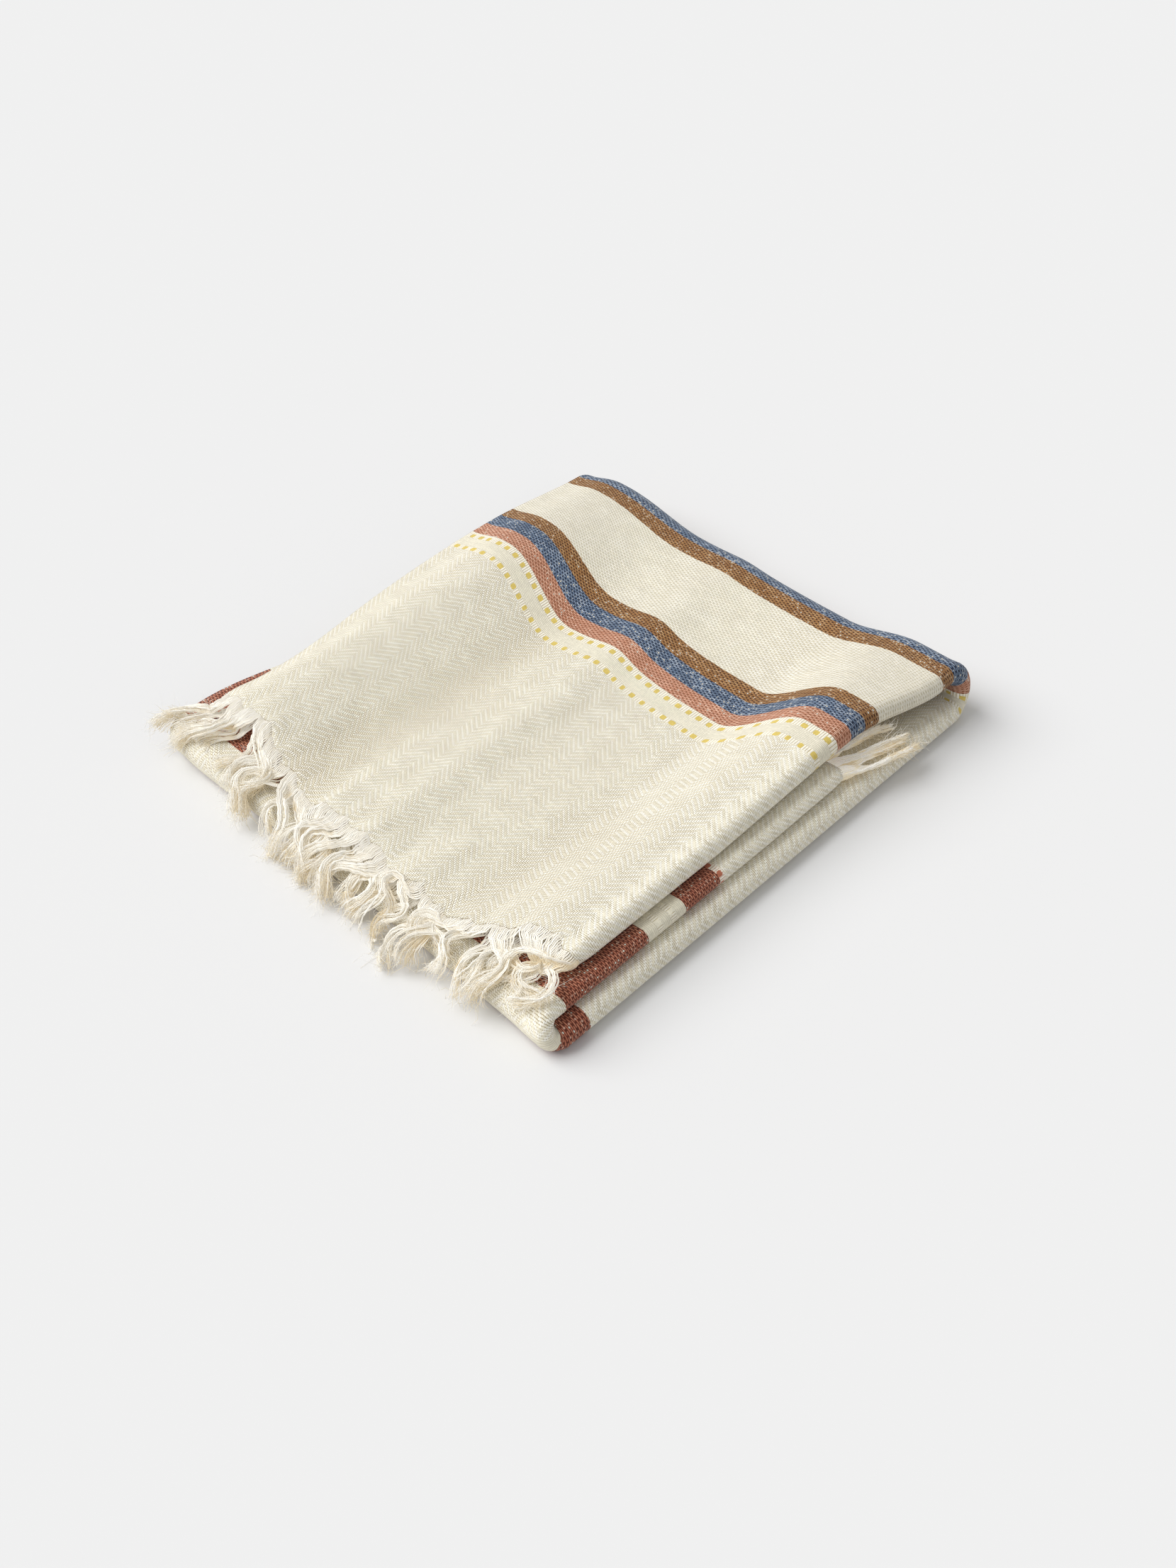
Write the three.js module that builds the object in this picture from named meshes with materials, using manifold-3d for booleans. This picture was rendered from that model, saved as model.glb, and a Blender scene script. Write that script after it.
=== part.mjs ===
// A guest towel with fringed ends, folded and lying flat.
//
// The cloth is first folded in half along its length, which gives pairs of layers that are
// joined by a loop on the +X side. The pairs are then folded in three: the top pair starts at
// the front fringe (-Y), turns down at the back (+Y), comes forward as the bottom pair on the
// floor, turns up at the front and ends as the tucked pair between the other two.
// X runs across the folded towel, Y from its front fringe to its back fold, Z is up.
// All sizes are in millimetres.

import * as THREE from 'three';
import Module from 'manifold-3d';
import { mergeVertices } from 'three/addons/utils/BufferGeometryUtils.js';

const wasm = await Module();
wasm.setup();

// The cloth
const SHEET = 1.8;
const HALF_SHEET = SHEET / 2;
const AIR = 0.6;                          // least air between two pairs
const LOOP_END = { from: 0, over: 45 };   // where, inward of a loop, its two layers come together

// Each pair of layers: where its loop reaches on the right, where its two edges lie on the
// left, half the height of its loop, and half the distance between its layers further in.
const PAIRS = {
  top: { right: 113.5, outerLeft: -127, innerLeft: -123, loop: 4.8, flat: 1.4 },
  bottom: { right: 128.5, outerLeft: -122, innerLeft: -119, loop: 4.8, flat: 1.4 },
  tucked: { right: 121, outerLeft: -121, innerLeft: -118, loop: 3, flat: 1.4 },
};

// How the height that the layers don't fill is shared between the gaps and the pairs.
const SHARE = { lowerAir: 0.3, upperAir: 0.34, insidePair: 0.06 };

// The top pair spreads at the back fold and is drawn in at the left, near the front, where the
// tucked pair bulges out from under it.
const SPREAD = { by: 8.5, from: 60, over: 60 };
const DRAWN_IN = { by: 8, at: -92, width: 48, droop: 3 };
const BULGE = { by: 15, at: -118, width: 54 };

// The lines that cross the top pair, at its sides and in the hollow between them.
const LINES = {
  root: { side: -120, hollow: -136 },
  stripe: { side: 62.5, hollow: 44.5 },
  back: { side: 127, hollow: 121.5 },
};
const STRIPE_SHARE = 0.7;     // how far along the top pair the stripe line lies

// The hollow along the middle of the top face: where its slopes start and how wide they are,
// as they run down from the left side, deeper past the middle and up to the right side. A low
// ridge lies in it.
const HOLLOW = {
  left: { from: -99, over: 60 },
  deeper: { from: -20, over: 60, by: 0.14 },
  ridge: { at: -10, width: 13, by: 0.13 },
  right: { from: 58, over: 38 },
};

// The height of the top face. Its sides rise to a crest and fall again to the back fold, the
// hollow rises towards the back fold, and the left edge droops.
const HEIGHT = {
  side: 29,
  crest: { from: -60, over: 120, by: 6 },
  fall: { from: 62, over: 65, by: 4 },
  hollow: 21,
  rise: { from: 60, over: 60, by: 6.5 },
  leftEdge: { from: 104, over: 24, by: 5 },
};

const FRONT_TURN = -142;      // y where the front fold starts to turn
const TUCKED_END = 45;        // y where the tucked pair ends

// Stretches of the cloth from the front fringe to the tucked one: the pairs that each one
// joins or lies in, its steps, which way its outside faces, and the y of its points.
const STRETCHES = {
  top: { from: 'top', to: 'top', steps: 14, way: 1, yAt: topY },
  backFold: { from: 'top', to: 'bottom', steps: 8, way: 1, yAt: backY },
  bottom: { from: 'bottom', to: 'bottom', steps: 9, way: -1, yAt: bottomY },
  frontFold: { from: 'bottom', to: 'tucked', steps: 6, way: -1, yAt: () => FRONT_TURN },
  tucked: { from: 'tucked', to: 'tucked', steps: 8, way: 1, yAt: tuckedY },
};

// Where the points across a layer lie, as shares of the way from the loop to the left edge.
const ACROSS = [0, 0.035, 0.075, 0.12, 0.167, 0.217, 0.285, 0.375, 0.467, 0.562,
  0.65, 0.725, 0.79, 0.85, 0.905, 0.955, 1];
const LOOP_ANGLES = [45, 0, -45];

// The fringes: a strip that holds the roots, and tapered locks of three sides. Each lock
// sways, and starts a little past the cloth's end. The front locks drop over the front fold,
// at least the distance "over" above it, and the last tucked ones on the right fan out.
const STRIP = { gap: 0.5, width: 2 };
const LOCK = { root: 0.98, tip: 0.45, sides: 3, sway: 0.9, bend: 2.4, uneven: 0.12, start: 1.9 };
const FRONT_LOCKS = {
  steps: 5,
  outer: { count: 56, length: 29, drop: 0.085, over: 5.1 },
  inner: { count: 38, length: 26, drop: 0.1, over: 3 },
};
const TUCKED_LOCKS = {
  steps: 3,
  outer: { count: 30, length: 42 },
  inner: { count: 28, length: 39 },
};
const DROP_POWER = 1.6;       // how a lock that hangs free curves down
const FAN = { from: 96, over: 20, by: 0.3, shortens: 0.3 };

// What makes the locks uneven: a seed for each thing that varies, the number that the inner
// layer's locks are counted from, and the factors that scatter the numbers.
const SEEDS = { frontLength: 1, frontDrift: 2, tuckedLength: 3, tuckedDrift: 4, twist: 5 };
const INNER_FIRST = 500;
const SCATTER = { index: 12.9898, seed: 78.233, size: 43758.5453 };

const FLOOR_SNAP = 0.05;      // what comes this close to the floor lies on it
const MERGE_WITHIN = 1e-4;

const CLOTH_FINISH = { color: 0xe4dcc6, roughness: 0.9, metalness: 0 };
const FRINGE_FINISH = { color: 0xf3eee0, roughness: 0.95, metalness: 0 };

const lerp = THREE.MathUtils.lerp;
const bell = (distance, width) => Math.exp(-((distance / width) ** 2));

/** A share that eases from 0 to 1 as the value goes on from where a slope starts. */
function ease(value, { from, over }) {
  const share = THREE.MathUtils.clamp((value - from) / over, 0, 1);
  return share * share * (3 - 2 * share);
}

/** How much of the hollow in the top face there is at x: 0 at the sides, about 1 within. */
function hollow(x) {
  const { left, deeper, ridge, right } = HOLLOW;
  const down = (1 - deeper.by) * ease(x, left) + deeper.by * ease(x, deeper);
  return down - ridge.by * bell(x - ridge.at, ridge.width) - ease(x, right);
}

/** The y of one of the lines across the top pair. */
function lineAt(line, x) {
  return lerp(line.side, line.hollow, hollow(x));
}

/** The height of the top face. */
function topHeight(x, y) {
  const { crest, fall, rise, leftEdge } = HEIGHT;
  const side = HEIGHT.side + crest.by * ease(y, crest) - fall.by * ease(y, fall);
  const middle = HEIGHT.hollow + rise.by * ease(y, rise);
  const droop = leftEdge.by + DRAWN_IN.droop * bell(y - DRAWN_IN.at, DRAWN_IN.width);
  return lerp(side, middle, hollow(x)) - droop * ease(-x, leftEdge);
}

/** Where a pair's loop reaches on the right. */
function rightOf(name, y) {
  const spread = name === 'top' ? SPREAD.by * ease(y, SPREAD) : 0;
  return PAIRS[name].right + spread;
}

/** Where a layer's edge lies on the left. */
function leftOf(name, outer, y) {
  const left = outer ? PAIRS[name].outerLeft : PAIRS[name].innerLeft;
  if (name === 'top') return left + DRAWN_IN.by * bell(y - DRAWN_IN.at, DRAWN_IN.width);
  if (name === 'tucked') return left - BULGE.by * bell(y - BULGE.at, BULGE.width);
  return left;
}

/** Half the distance between the layers of a pair, before any spare height is shared out. */
function halfGap(name, x, y) {
  const { loop, flat } = PAIRS[name];
  const inward = rightOf(name, y) - loop - x;
  return lerp(loop, flat, ease(inward, LOOP_END));
}

/** The middle height of each pair and half the distance between its layers, at x and y. */
function levels(x, y) {
  const half = {
    top: halfGap('top', x, y), tucked: halfGap('tucked', x, y), bottom: halfGap('bottom', x, y),
  };
  const filled = 3 * SHEET + 2 * AIR + 2 * (half.top + half.tucked + half.bottom);
  const spare = Math.max(0, topHeight(x, y) - filled);
  for (const name of Object.keys(half)) half[name] += SHARE.insidePair * spare;
  const bottom = HALF_SHEET + half.bottom;
  const tucked = bottom + half.bottom + SHEET + AIR + SHARE.lowerAir * spare + half.tucked;
  const top = tucked + half.tucked + SHEET + AIR + SHARE.upperAir * spare + half.top;
  return { half, middle: { top, tucked, bottom } };
}

/** The y of a point of the top pair, by its share of the way from the front to the back. */
function topY(share, x) {
  const root = lineAt(LINES.root, x);
  const stripe = lineAt(LINES.stripe, x);
  const back = lineAt(LINES.back, x);
  return share < STRIPE_SHARE
    ? lerp(root, stripe, share / STRIPE_SHARE)
    : lerp(stripe, back, (share - STRIPE_SHARE) / (1 - STRIPE_SHARE));
}

/** The y of the line where the top pair starts to turn down. */
function backY(share, x) {
  return lineAt(LINES.back, x);
}

/** The y of a point of the bottom pair, by its share of the way from the back to the front. */
function bottomY(share, x) {
  return lerp(lineAt(LINES.back, x), FRONT_TURN, share);
}

/** The y of a point of the tucked pair, by its share of the way from the front fold. */
function tuckedY(share) {
  return lerp(FRONT_TURN, TUCKED_END, share);
}

/** Turns from one pair to another around a fold; angle 0 is the first pair, PI the second. */
function turn(first, second, x, y, angle, lift, way) {
  const { half, middle } = levels(x, y);
  const share = (1 - Math.cos(angle)) / 2;
  const radius = (middle[first] - middle[second]) / 2 * way;
  const reach = radius + lift * lerp(half[first], half[second], share);
  return {
    y: y + way * reach * Math.sin(angle),
    z: (middle[first] + middle[second]) / 2 + way * reach * Math.cos(angle),
  };
}

/** One point of the middle of the sheet. across is a share from the loop to the left edge. */
function clothPoint(stretch, share, lift, across, cosine) {
  const { from, to, way, yAt } = STRETCHES[stretch];
  const mix = from === to ? 0 : share;
  const between = (valueOf) => lerp(valueOf(from), valueOf(to), mix);
  const loop = between((name) => PAIRS[name].loop);
  const edgeY = yAt(share, PAIRS[from].right);
  const centre = between((name) => rightOf(name, edgeY)) - loop;
  const leftY = yAt(share, PAIRS[from].outerLeft);
  const left = between((name) => leftOf(name, lift > 0, leftY));
  const x = lerp(centre, left, across);
  const y = yAt(share, x);
  const shownX = x + loop * cosine;
  if (from !== to) {
    return { x: shownX, ...turn(from, to, x, y, Math.PI * share, lift, way) };
  }
  const { half, middle } = levels(x, y);
  return { x: shownX, y, z: middle[from] + way * lift * half[from] };
}

/** The points across the whole cloth: the outer layer, the loop and the inner layer. */
function acrossCloth() {
  const outer = [...ACROSS].reverse().map((share) => ({ lift: 1, across: share, cosine: 0 }));
  const loop = LOOP_ANGLES.map((degrees) => {
    const angle = THREE.MathUtils.degToRad(degrees);
    return { lift: Math.sin(angle), across: 0, cosine: Math.cos(angle) };
  });
  const inner = ACROSS.map((share) => ({ lift: -1, across: share, cosine: 0 }));
  return [...outer, ...loop, ...inner];
}

/** The rows of points along the cloth; each stretch starts where the one before it ends. */
function clothRows() {
  const rows = [];
  for (const [name, { steps }] of Object.entries(STRETCHES)) {
    const first = rows.length === 0 ? 0 : 1;
    for (let step = first; step <= steps; step += 1) rows.push([name, step / steps]);
  }
  return rows.map(([name, share]) => acrossCloth().map(({ lift, across, cosine }) => {
    const point = clothPoint(name, share, lift, across, cosine);
    return new THREE.Vector3(point.x, point.y, point.z);
  }));
}

/** Gives a grid of points the sheet's thickness and closes its four edges. */
function thicken(rows) {
  const count = rows[0].length;
  const positions = [];
  const normalAt = (i, j) => {
    const before = rows[Math.max(i - 1, 0)][j];
    const after = rows[Math.min(i + 1, rows.length - 1)][j];
    const left = rows[i][Math.max(j - 1, 0)];
    const right = rows[i][Math.min(j + 1, count - 1)];
    const along = new THREE.Vector3().subVectors(after, before);
    const across = new THREE.Vector3().subVectors(right, left);
    return across.cross(along).normalize();
  };
  for (const side of [1, -1]) {
    rows.forEach((row, i) => row.forEach((point, j) => {
      const moved = point.clone().addScaledVector(normalAt(i, j), side * HALF_SHEET);
      positions.push(moved.x, moved.y, Math.abs(moved.z) < FLOOR_SNAP ? 0 : moved.z);
    }));
  }
  const indices = [];
  const face = (side, i, j) => side * rows.length * count + i * count + j;
  const quad = (a, b, c, d) => indices.push(a, b, c, a, c, d);
  for (let i = 0; i + 1 < rows.length; i += 1) {
    for (let j = 0; j + 1 < count; j += 1) {
      quad(face(0, i, j), face(0, i, j + 1), face(0, i + 1, j + 1), face(0, i + 1, j));
      quad(face(1, i, j), face(1, i + 1, j), face(1, i + 1, j + 1), face(1, i, j + 1));
    }
    quad(face(0, i, 0), face(0, i + 1, 0), face(1, i + 1, 0), face(1, i, 0));
    const end = count - 1;
    quad(face(0, i, end), face(1, i, end), face(1, i + 1, end), face(0, i + 1, end));
  }
  const last = rows.length - 1;
  for (let j = 0; j + 1 < count; j += 1) {
    quad(face(0, 0, j), face(1, 0, j), face(1, 0, j + 1), face(0, 0, j + 1));
    quad(face(0, last, j), face(0, last, j + 1), face(1, last, j + 1), face(1, last, j));
  }
  const geometry = new THREE.BufferGeometry();
  geometry.setAttribute('position', new THREE.Float32BufferAttribute(positions, 3));
  geometry.setIndex(indices);
  return geometry;
}

/** The narrow strip past one end of the cloth that holds the roots of a fringe. */
function rootStrip(stretch, share, way) {
  return [STRIP.gap, STRIP.gap + STRIP.width].map((past) => acrossCloth().map((place) => {
    const point = clothPoint(stretch, share, place.lift, place.across, place.cosine);
    return new THREE.Vector3(point.x, point.y + way * past, point.z);
  }));
}

/** A repeatable number from -1 to 1 for each lock. */
function uneven(index, seed) {
  const value = Math.sin(index * SCATTER.index + seed * SCATTER.seed) * SCATTER.size;
  return 2 * (value - Math.floor(value)) - 1;
}

/** How high a lock lies that hangs over the front fold, some way off its surface. */
function overFrontFold(x, y, off) {
  const { half, middle } = levels(x, Math.max(y, FRONT_TURN));
  const crown = middle.tucked + half.tucked + HALF_SHEET;
  if (y >= FRONT_TURN) return crown + off;
  const share = (FRONT_TURN - y) / (crown / 2 + off);
  return share < 1 ? crown / 2 + (crown / 2 + off) * Math.sqrt(1 - share * share) : off;
}

/** A tapered lock with three sides along a line of points. */
function lockGeometry(points, twist) {
  const positions = [];
  const indices = [];
  const forward = new THREE.Vector3();
  const sideways = new THREE.Vector3();
  const upward = new THREE.Vector3();
  const vertical = new THREE.Vector3(0, 0, 1);
  points.forEach((point, i) => {
    forward.subVectors(points[Math.min(i + 1, points.length - 1)], points[Math.max(i - 1, 0)]);
    sideways.crossVectors(forward.normalize(), vertical).normalize();
    upward.crossVectors(sideways, forward);
    const radius = lerp(LOCK.root, LOCK.tip, i / (points.length - 1));
    for (let side = 0; side < LOCK.sides; side += 1) {
      const angle = twist + 2 * Math.PI * side / LOCK.sides;
      const corner = point.clone()
        .addScaledVector(sideways, radius * Math.cos(angle))
        .addScaledVector(upward, radius * Math.sin(angle));
      positions.push(corner.x, corner.y, corner.z);
    }
  });
  for (let i = 0; i + 1 < points.length; i += 1) {
    for (let side = 0; side < LOCK.sides; side += 1) {
      const next = (side + 1) % LOCK.sides;
      const [a, b] = [i * LOCK.sides + side, i * LOCK.sides + next];
      indices.push(a, a + LOCK.sides, b, b, a + LOCK.sides, b + LOCK.sides);
    }
  }
  const end = (points.length - 1) * LOCK.sides;
  indices.push(0, 1, 2, end, end + 2, end + 1);
  const geometry = new THREE.BufferGeometry();
  geometry.setAttribute('position', new THREE.Float32BufferAttribute(positions, 3));
  geometry.setIndex(indices);
  return geometry;
}

/** The line of a lock that lies on the front fold and hangs over it. */
function frontLockLine(place, index, options, steps) {
  const start = clothPoint('top', 0, place.lift, place.across, place.cosine);
  const length = options.length * (1 + LOCK.uneven * uneven(index, SEEDS.frontLength));
  const drift = LOCK.sway * uneven(index, SEEDS.frontDrift);
  const points = [];
  for (let step = 0; step <= steps; step += 1) {
    const along = length * step / steps;
    const y = start.y - LOCK.start - along;
    const fall = start.z - options.drop * along ** DROP_POWER;
    const x = start.x + drift * Math.sin(LOCK.bend * step / steps);
    const rest = step === 0 ? start.z : overFrontFold(x, y, options.over);
    points.push(new THREE.Vector3(x, y, Math.max(fall, rest)));
  }
  return points;
}

/** The line of a lock inside the back fold; the last ones on the right fan out of it. */
function tuckedLockLine(place, index, options, steps) {
  const start = clothPoint('tucked', 1, place.lift, place.across, place.cosine);
  const length = options.length * (1 + LOCK.uneven * uneven(index, SEEDS.tuckedLength));
  const drift = LOCK.sway * uneven(index, SEEDS.tuckedDrift);
  const fan = FAN.by * ease(start.x, FAN);
  const points = [];
  for (let step = 0; step <= steps; step += 1) {
    const along = length * step / steps;
    const y = start.y + LOCK.start + along * (1 - FAN.shortens * fan);
    const x = start.x + drift * Math.sin(LOCK.bend * step / steps) + fan * along;
    points.push(new THREE.Vector3(x, y, start.z));
  }
  return points;
}

/** The places of a layer's roots, evenly spread from its left edge to its loop. */
function rootPlaces(count, lift) {
  return Array.from({ length: count }, (_, i) => ({
    lift, across: (i + 0.5) / count, cosine: 0,
  }));
}

/** Makes a geometry a solid that can be joined with others. */
function toSolid(geometry) {
  const merged = mergeVertices(geometry, MERGE_WITHIN);
  return new wasm.Manifold(new wasm.Mesh({
    numProp: 3,
    vertProperties: new Float32Array(merged.attributes.position.array),
    triVerts: new Uint32Array(merged.index.array),
  }));
}

/** Turns a solid back into a geometry. */
function toGeometry(solid) {
  const mesh = solid.getMesh();
  const geometry = new THREE.BufferGeometry();
  geometry.setAttribute('position', new THREE.Float32BufferAttribute(mesh.vertProperties, 3));
  geometry.setIndex(Array.from(mesh.triVerts));
  return geometry;
}

/** One lock, turned a little about its own line. */
function lockSolid(points, index) {
  return toSolid(lockGeometry(points, uneven(index, SEEDS.twist)));
}

/** A fringe: its root strip joined with the locks of both layers. */
function fringe(strip, locks, lineOf) {
  let solid = toSolid(thicken(strip));
  for (const [layer, lift] of [['outer', 1], ['inner', -1]]) {
    const options = locks[layer];
    rootPlaces(options.count, lift).forEach((place, i) => {
      const index = lift > 0 ? i : INNER_FIRST + i;
      solid = solid.add(lockSolid(lineOf(place, index, options, locks.steps), index));
    });
  }
  return toGeometry(solid);
}

/** A named mesh of one sub-part. */
function piece(name, geometry, finish) {
  const mesh = new THREE.Mesh(geometry, new THREE.MeshStandardMaterial(finish));
  mesh.name = name;
  return mesh;
}

const towel = new THREE.Group();
towel.add(
  piece('cloth', thicken(clothRows()), CLOTH_FINISH),
  piece('front_fringe', fringe(rootStrip('top', 0, -1), FRONT_LOCKS, frontLockLine),
    FRINGE_FINISH),
  piece('tucked_fringe', fringe(rootStrip('tucked', 1, 1), TUCKED_LOCKS, tuckedLockLine),
    FRINGE_FINISH),
);

// The origin is the middle of the footprint, on the floor.
const box = new THREE.Box3().setFromObject(towel);
const middle = box.getCenter(new THREE.Vector3());
for (const mesh of towel.children) mesh.geometry.translate(-middle.x, -middle.y, -box.min.z);

export default towel;
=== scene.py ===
"""A guest towel with fringed ends, folded in half along its length and then in three.

The cloth is one thin sheet on its folds, with its weave and woven bands, and each fringe is a
mesh of loose yarns. Sizes are in millimetres, in the frame in which the towel is folded: X runs
across it, Y from the front fringe to the back fold, Z up. They become metres in the row's frame
when a mesh is made.
"""

import logging
import math
from dataclasses import dataclass, field
from enum import Enum
from typing import Callable

import bpy
import numpy as np
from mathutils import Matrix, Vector


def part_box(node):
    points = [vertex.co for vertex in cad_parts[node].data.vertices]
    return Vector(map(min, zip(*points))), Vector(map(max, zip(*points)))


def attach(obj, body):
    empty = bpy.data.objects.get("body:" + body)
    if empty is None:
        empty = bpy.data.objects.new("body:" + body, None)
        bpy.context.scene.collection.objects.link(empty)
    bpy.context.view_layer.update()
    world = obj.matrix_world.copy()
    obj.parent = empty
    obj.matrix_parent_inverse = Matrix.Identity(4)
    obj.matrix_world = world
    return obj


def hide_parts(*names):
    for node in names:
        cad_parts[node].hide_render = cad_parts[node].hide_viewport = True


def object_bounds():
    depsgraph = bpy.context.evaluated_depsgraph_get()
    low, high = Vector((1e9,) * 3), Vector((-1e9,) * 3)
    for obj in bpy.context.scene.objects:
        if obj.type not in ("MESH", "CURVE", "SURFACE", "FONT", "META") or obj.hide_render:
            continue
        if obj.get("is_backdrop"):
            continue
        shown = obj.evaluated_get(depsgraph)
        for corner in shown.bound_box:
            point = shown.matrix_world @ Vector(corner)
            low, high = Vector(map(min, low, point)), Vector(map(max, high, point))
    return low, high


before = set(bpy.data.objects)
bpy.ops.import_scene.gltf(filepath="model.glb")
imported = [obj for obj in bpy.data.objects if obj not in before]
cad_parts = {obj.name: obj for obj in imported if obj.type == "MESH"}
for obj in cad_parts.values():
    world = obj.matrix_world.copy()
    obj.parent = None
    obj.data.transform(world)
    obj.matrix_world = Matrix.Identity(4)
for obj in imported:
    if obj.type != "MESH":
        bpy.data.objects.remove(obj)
CAD_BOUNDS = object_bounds()

LOG = logging.getLogger("towel")
Array = np.ndarray
Colour = tuple[float, float, float]
MM = 0.001
UP = np.array([0.0, 0.0, 1.0])
ASKEW = np.array([0.13, 0.21, 0.97])  # a direction that no yarn follows


def linear(red: int, green: int, blue: int) -> Colour:
    """Turns a colour in screen values from 0 to 255 into the shader's linear values.

    Args:
        red: the red value.
        green: the green value.
        blue: the blue value.

    Returns:
        Three linear numbers from 0 to 1.
    """
    shares = (value / 255 for value in (red, green, blue))
    return tuple(s / 12.92 if s < 0.04045 else ((s + 0.055) / 1.055) ** 2.4 for s in shares)


def lerp(first: Array, second: Array, share: Array) -> Array:
    """Goes from the first value to the second one by a share."""
    return first + (second - first) * share


def ease(value: Array, start: float, end: float) -> Array:
    """An eased share, 0 before start and 1 after end: 3t^2 - 2t^3."""
    share = np.clip((value - start) / (end - start), 0, 1)
    return share * share * (3 - 2 * share)


def bell(distance: Array, width: float) -> Array:
    """A smooth hump: e to the power of minus the square of distance over width."""
    return np.exp(-((distance / width) ** 2))


@dataclass(frozen=True)
class Slope:
    """An eased slope: where it starts, how far it goes on and how much it rises."""

    start: float
    over: float
    by: float = 1.0

    def at(self, value: Array) -> Array:
        """How much of the rise there is at a value."""
        return self.by * ease(value, self.start, self.start + self.over)


@dataclass(frozen=True)
class Line:
    """A line across the top pair: its y at the sides and in the hollow between them."""

    side: float
    hollow: float


@dataclass(frozen=True)
class Pair:
    """Two layers joined by a loop on the right.

    Attributes:
        right: where the loop reaches.
        outer_left: where the outer layer's edge lies.
        inner_left: where the inner layer's edge lies.
        loop: half the height of the loop.
        flat: half the distance between the layers further in.
    """

    right: float
    outer_left: float
    inner_left: float
    loop: float
    flat: float = 1.4


class Level(Enum):
    """The three pairs of layers, by where they lie."""

    TOP = Pair(113.5, -127, -123, 4.8)
    BOTTOM = Pair(128.5, -122, -119, 4.8)
    TUCKED = Pair(121, -121, -118, 3)


@dataclass(frozen=True)
class Leg:
    """One stretch of the cloth on its way from the front fringe to the tucked one.

    Attributes:
        first: the pair that it starts in.
        second: the pair that it ends in.
        way: 1 where its outside faces up or back, -1 where it faces down or to the front.
        length: how much cloth it takes.
        rows: how many rows of faces it gets.
    """

    first: Level
    second: Level
    way: int
    length: float
    rows: int


class Stretch(Enum):
    """The stretches of the cloth, in order."""

    TOP = Leg(Level.TOP, Level.TOP, 1, 255.5, 108)
    BACK_FOLD = Leg(Level.TOP, Level.BOTTOM, 1, 36, 26)
    BOTTOM = Leg(Level.BOTTOM, Level.BOTTOM, -1, 265, 62)
    FRONT_FOLD = Leg(Level.BOTTOM, Level.TUCKED, -1, 19, 16)
    TUCKED = Leg(Level.TUCKED, Level.TUCKED, 1, 187, 48)

    def start(self) -> float:
        """How much cloth lies between the front fringe and this stretch."""
        earlier = list(Stretch)[: list(Stretch).index(self)]
        return sum(stretch.value.length for stretch in earlier)


@dataclass(frozen=True)
class Crease:
    """A soft ridge or trough in the top pair, from one place to another.

    Attributes:
        start: x and y of one end.
        end: x and y of the other end.
        width: how wide it is.
        height: how high it is, below zero in a trough.
    """

    start: tuple[float, float]
    end: tuple[float, float]
    width: float
    height: float

    def at(self, x: Array, y: Array) -> Array:
        """Its height at x and y: a bell of the distance from the straight line between its ends."""
        along = np.subtract(self.end, self.start)
        share = ((x - self.start[0]) * along[0] + (y - self.start[1]) * along[1]) / (along @ along)
        share = np.clip(share, 0, 1)
        off = np.hypot(x - self.start[0] - share * along[0], y - self.start[1] - share * along[1])
        return self.height * bell(off, self.width)


@dataclass(frozen=True)
class Place:
    """Where points lie across the cloth.

    Attributes:
        lift: 1 in the outer layer, -1 in the inner one, and between them round the loop.
        across: the share of the way from the loop to the left edge.
        cosine: how far out a point of the loop lies.
        reach: how much cloth lies between the outer layer's edge and the point.
    """

    lift: Array
    across: Array
    cosine: Array
    reach: Array

    OUTER = 236.0
    LOOP = 13.0
    INNER = 233.0

    @classmethod
    def at(cls, reach: Array) -> "Place":
        """Finds the places from how much cloth lies between them and the outer edge."""
        reach = np.asarray(reach, float)
        turned = np.clip((reach - cls.OUTER) / cls.LOOP, 0, 1)
        angle = np.pi * (0.5 - turned)
        outer = np.clip((cls.OUTER - reach) / cls.OUTER, 0, 1)
        inner = np.clip((reach - cls.OUTER - cls.LOOP) / cls.INNER, 0, 1)
        return cls(np.sin(angle), outer + inner, np.cos(angle), reach)

    @classmethod
    def width(cls) -> float:
        """The whole width of the cloth."""
        return cls.OUTER + cls.LOOP + cls.INNER


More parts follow.
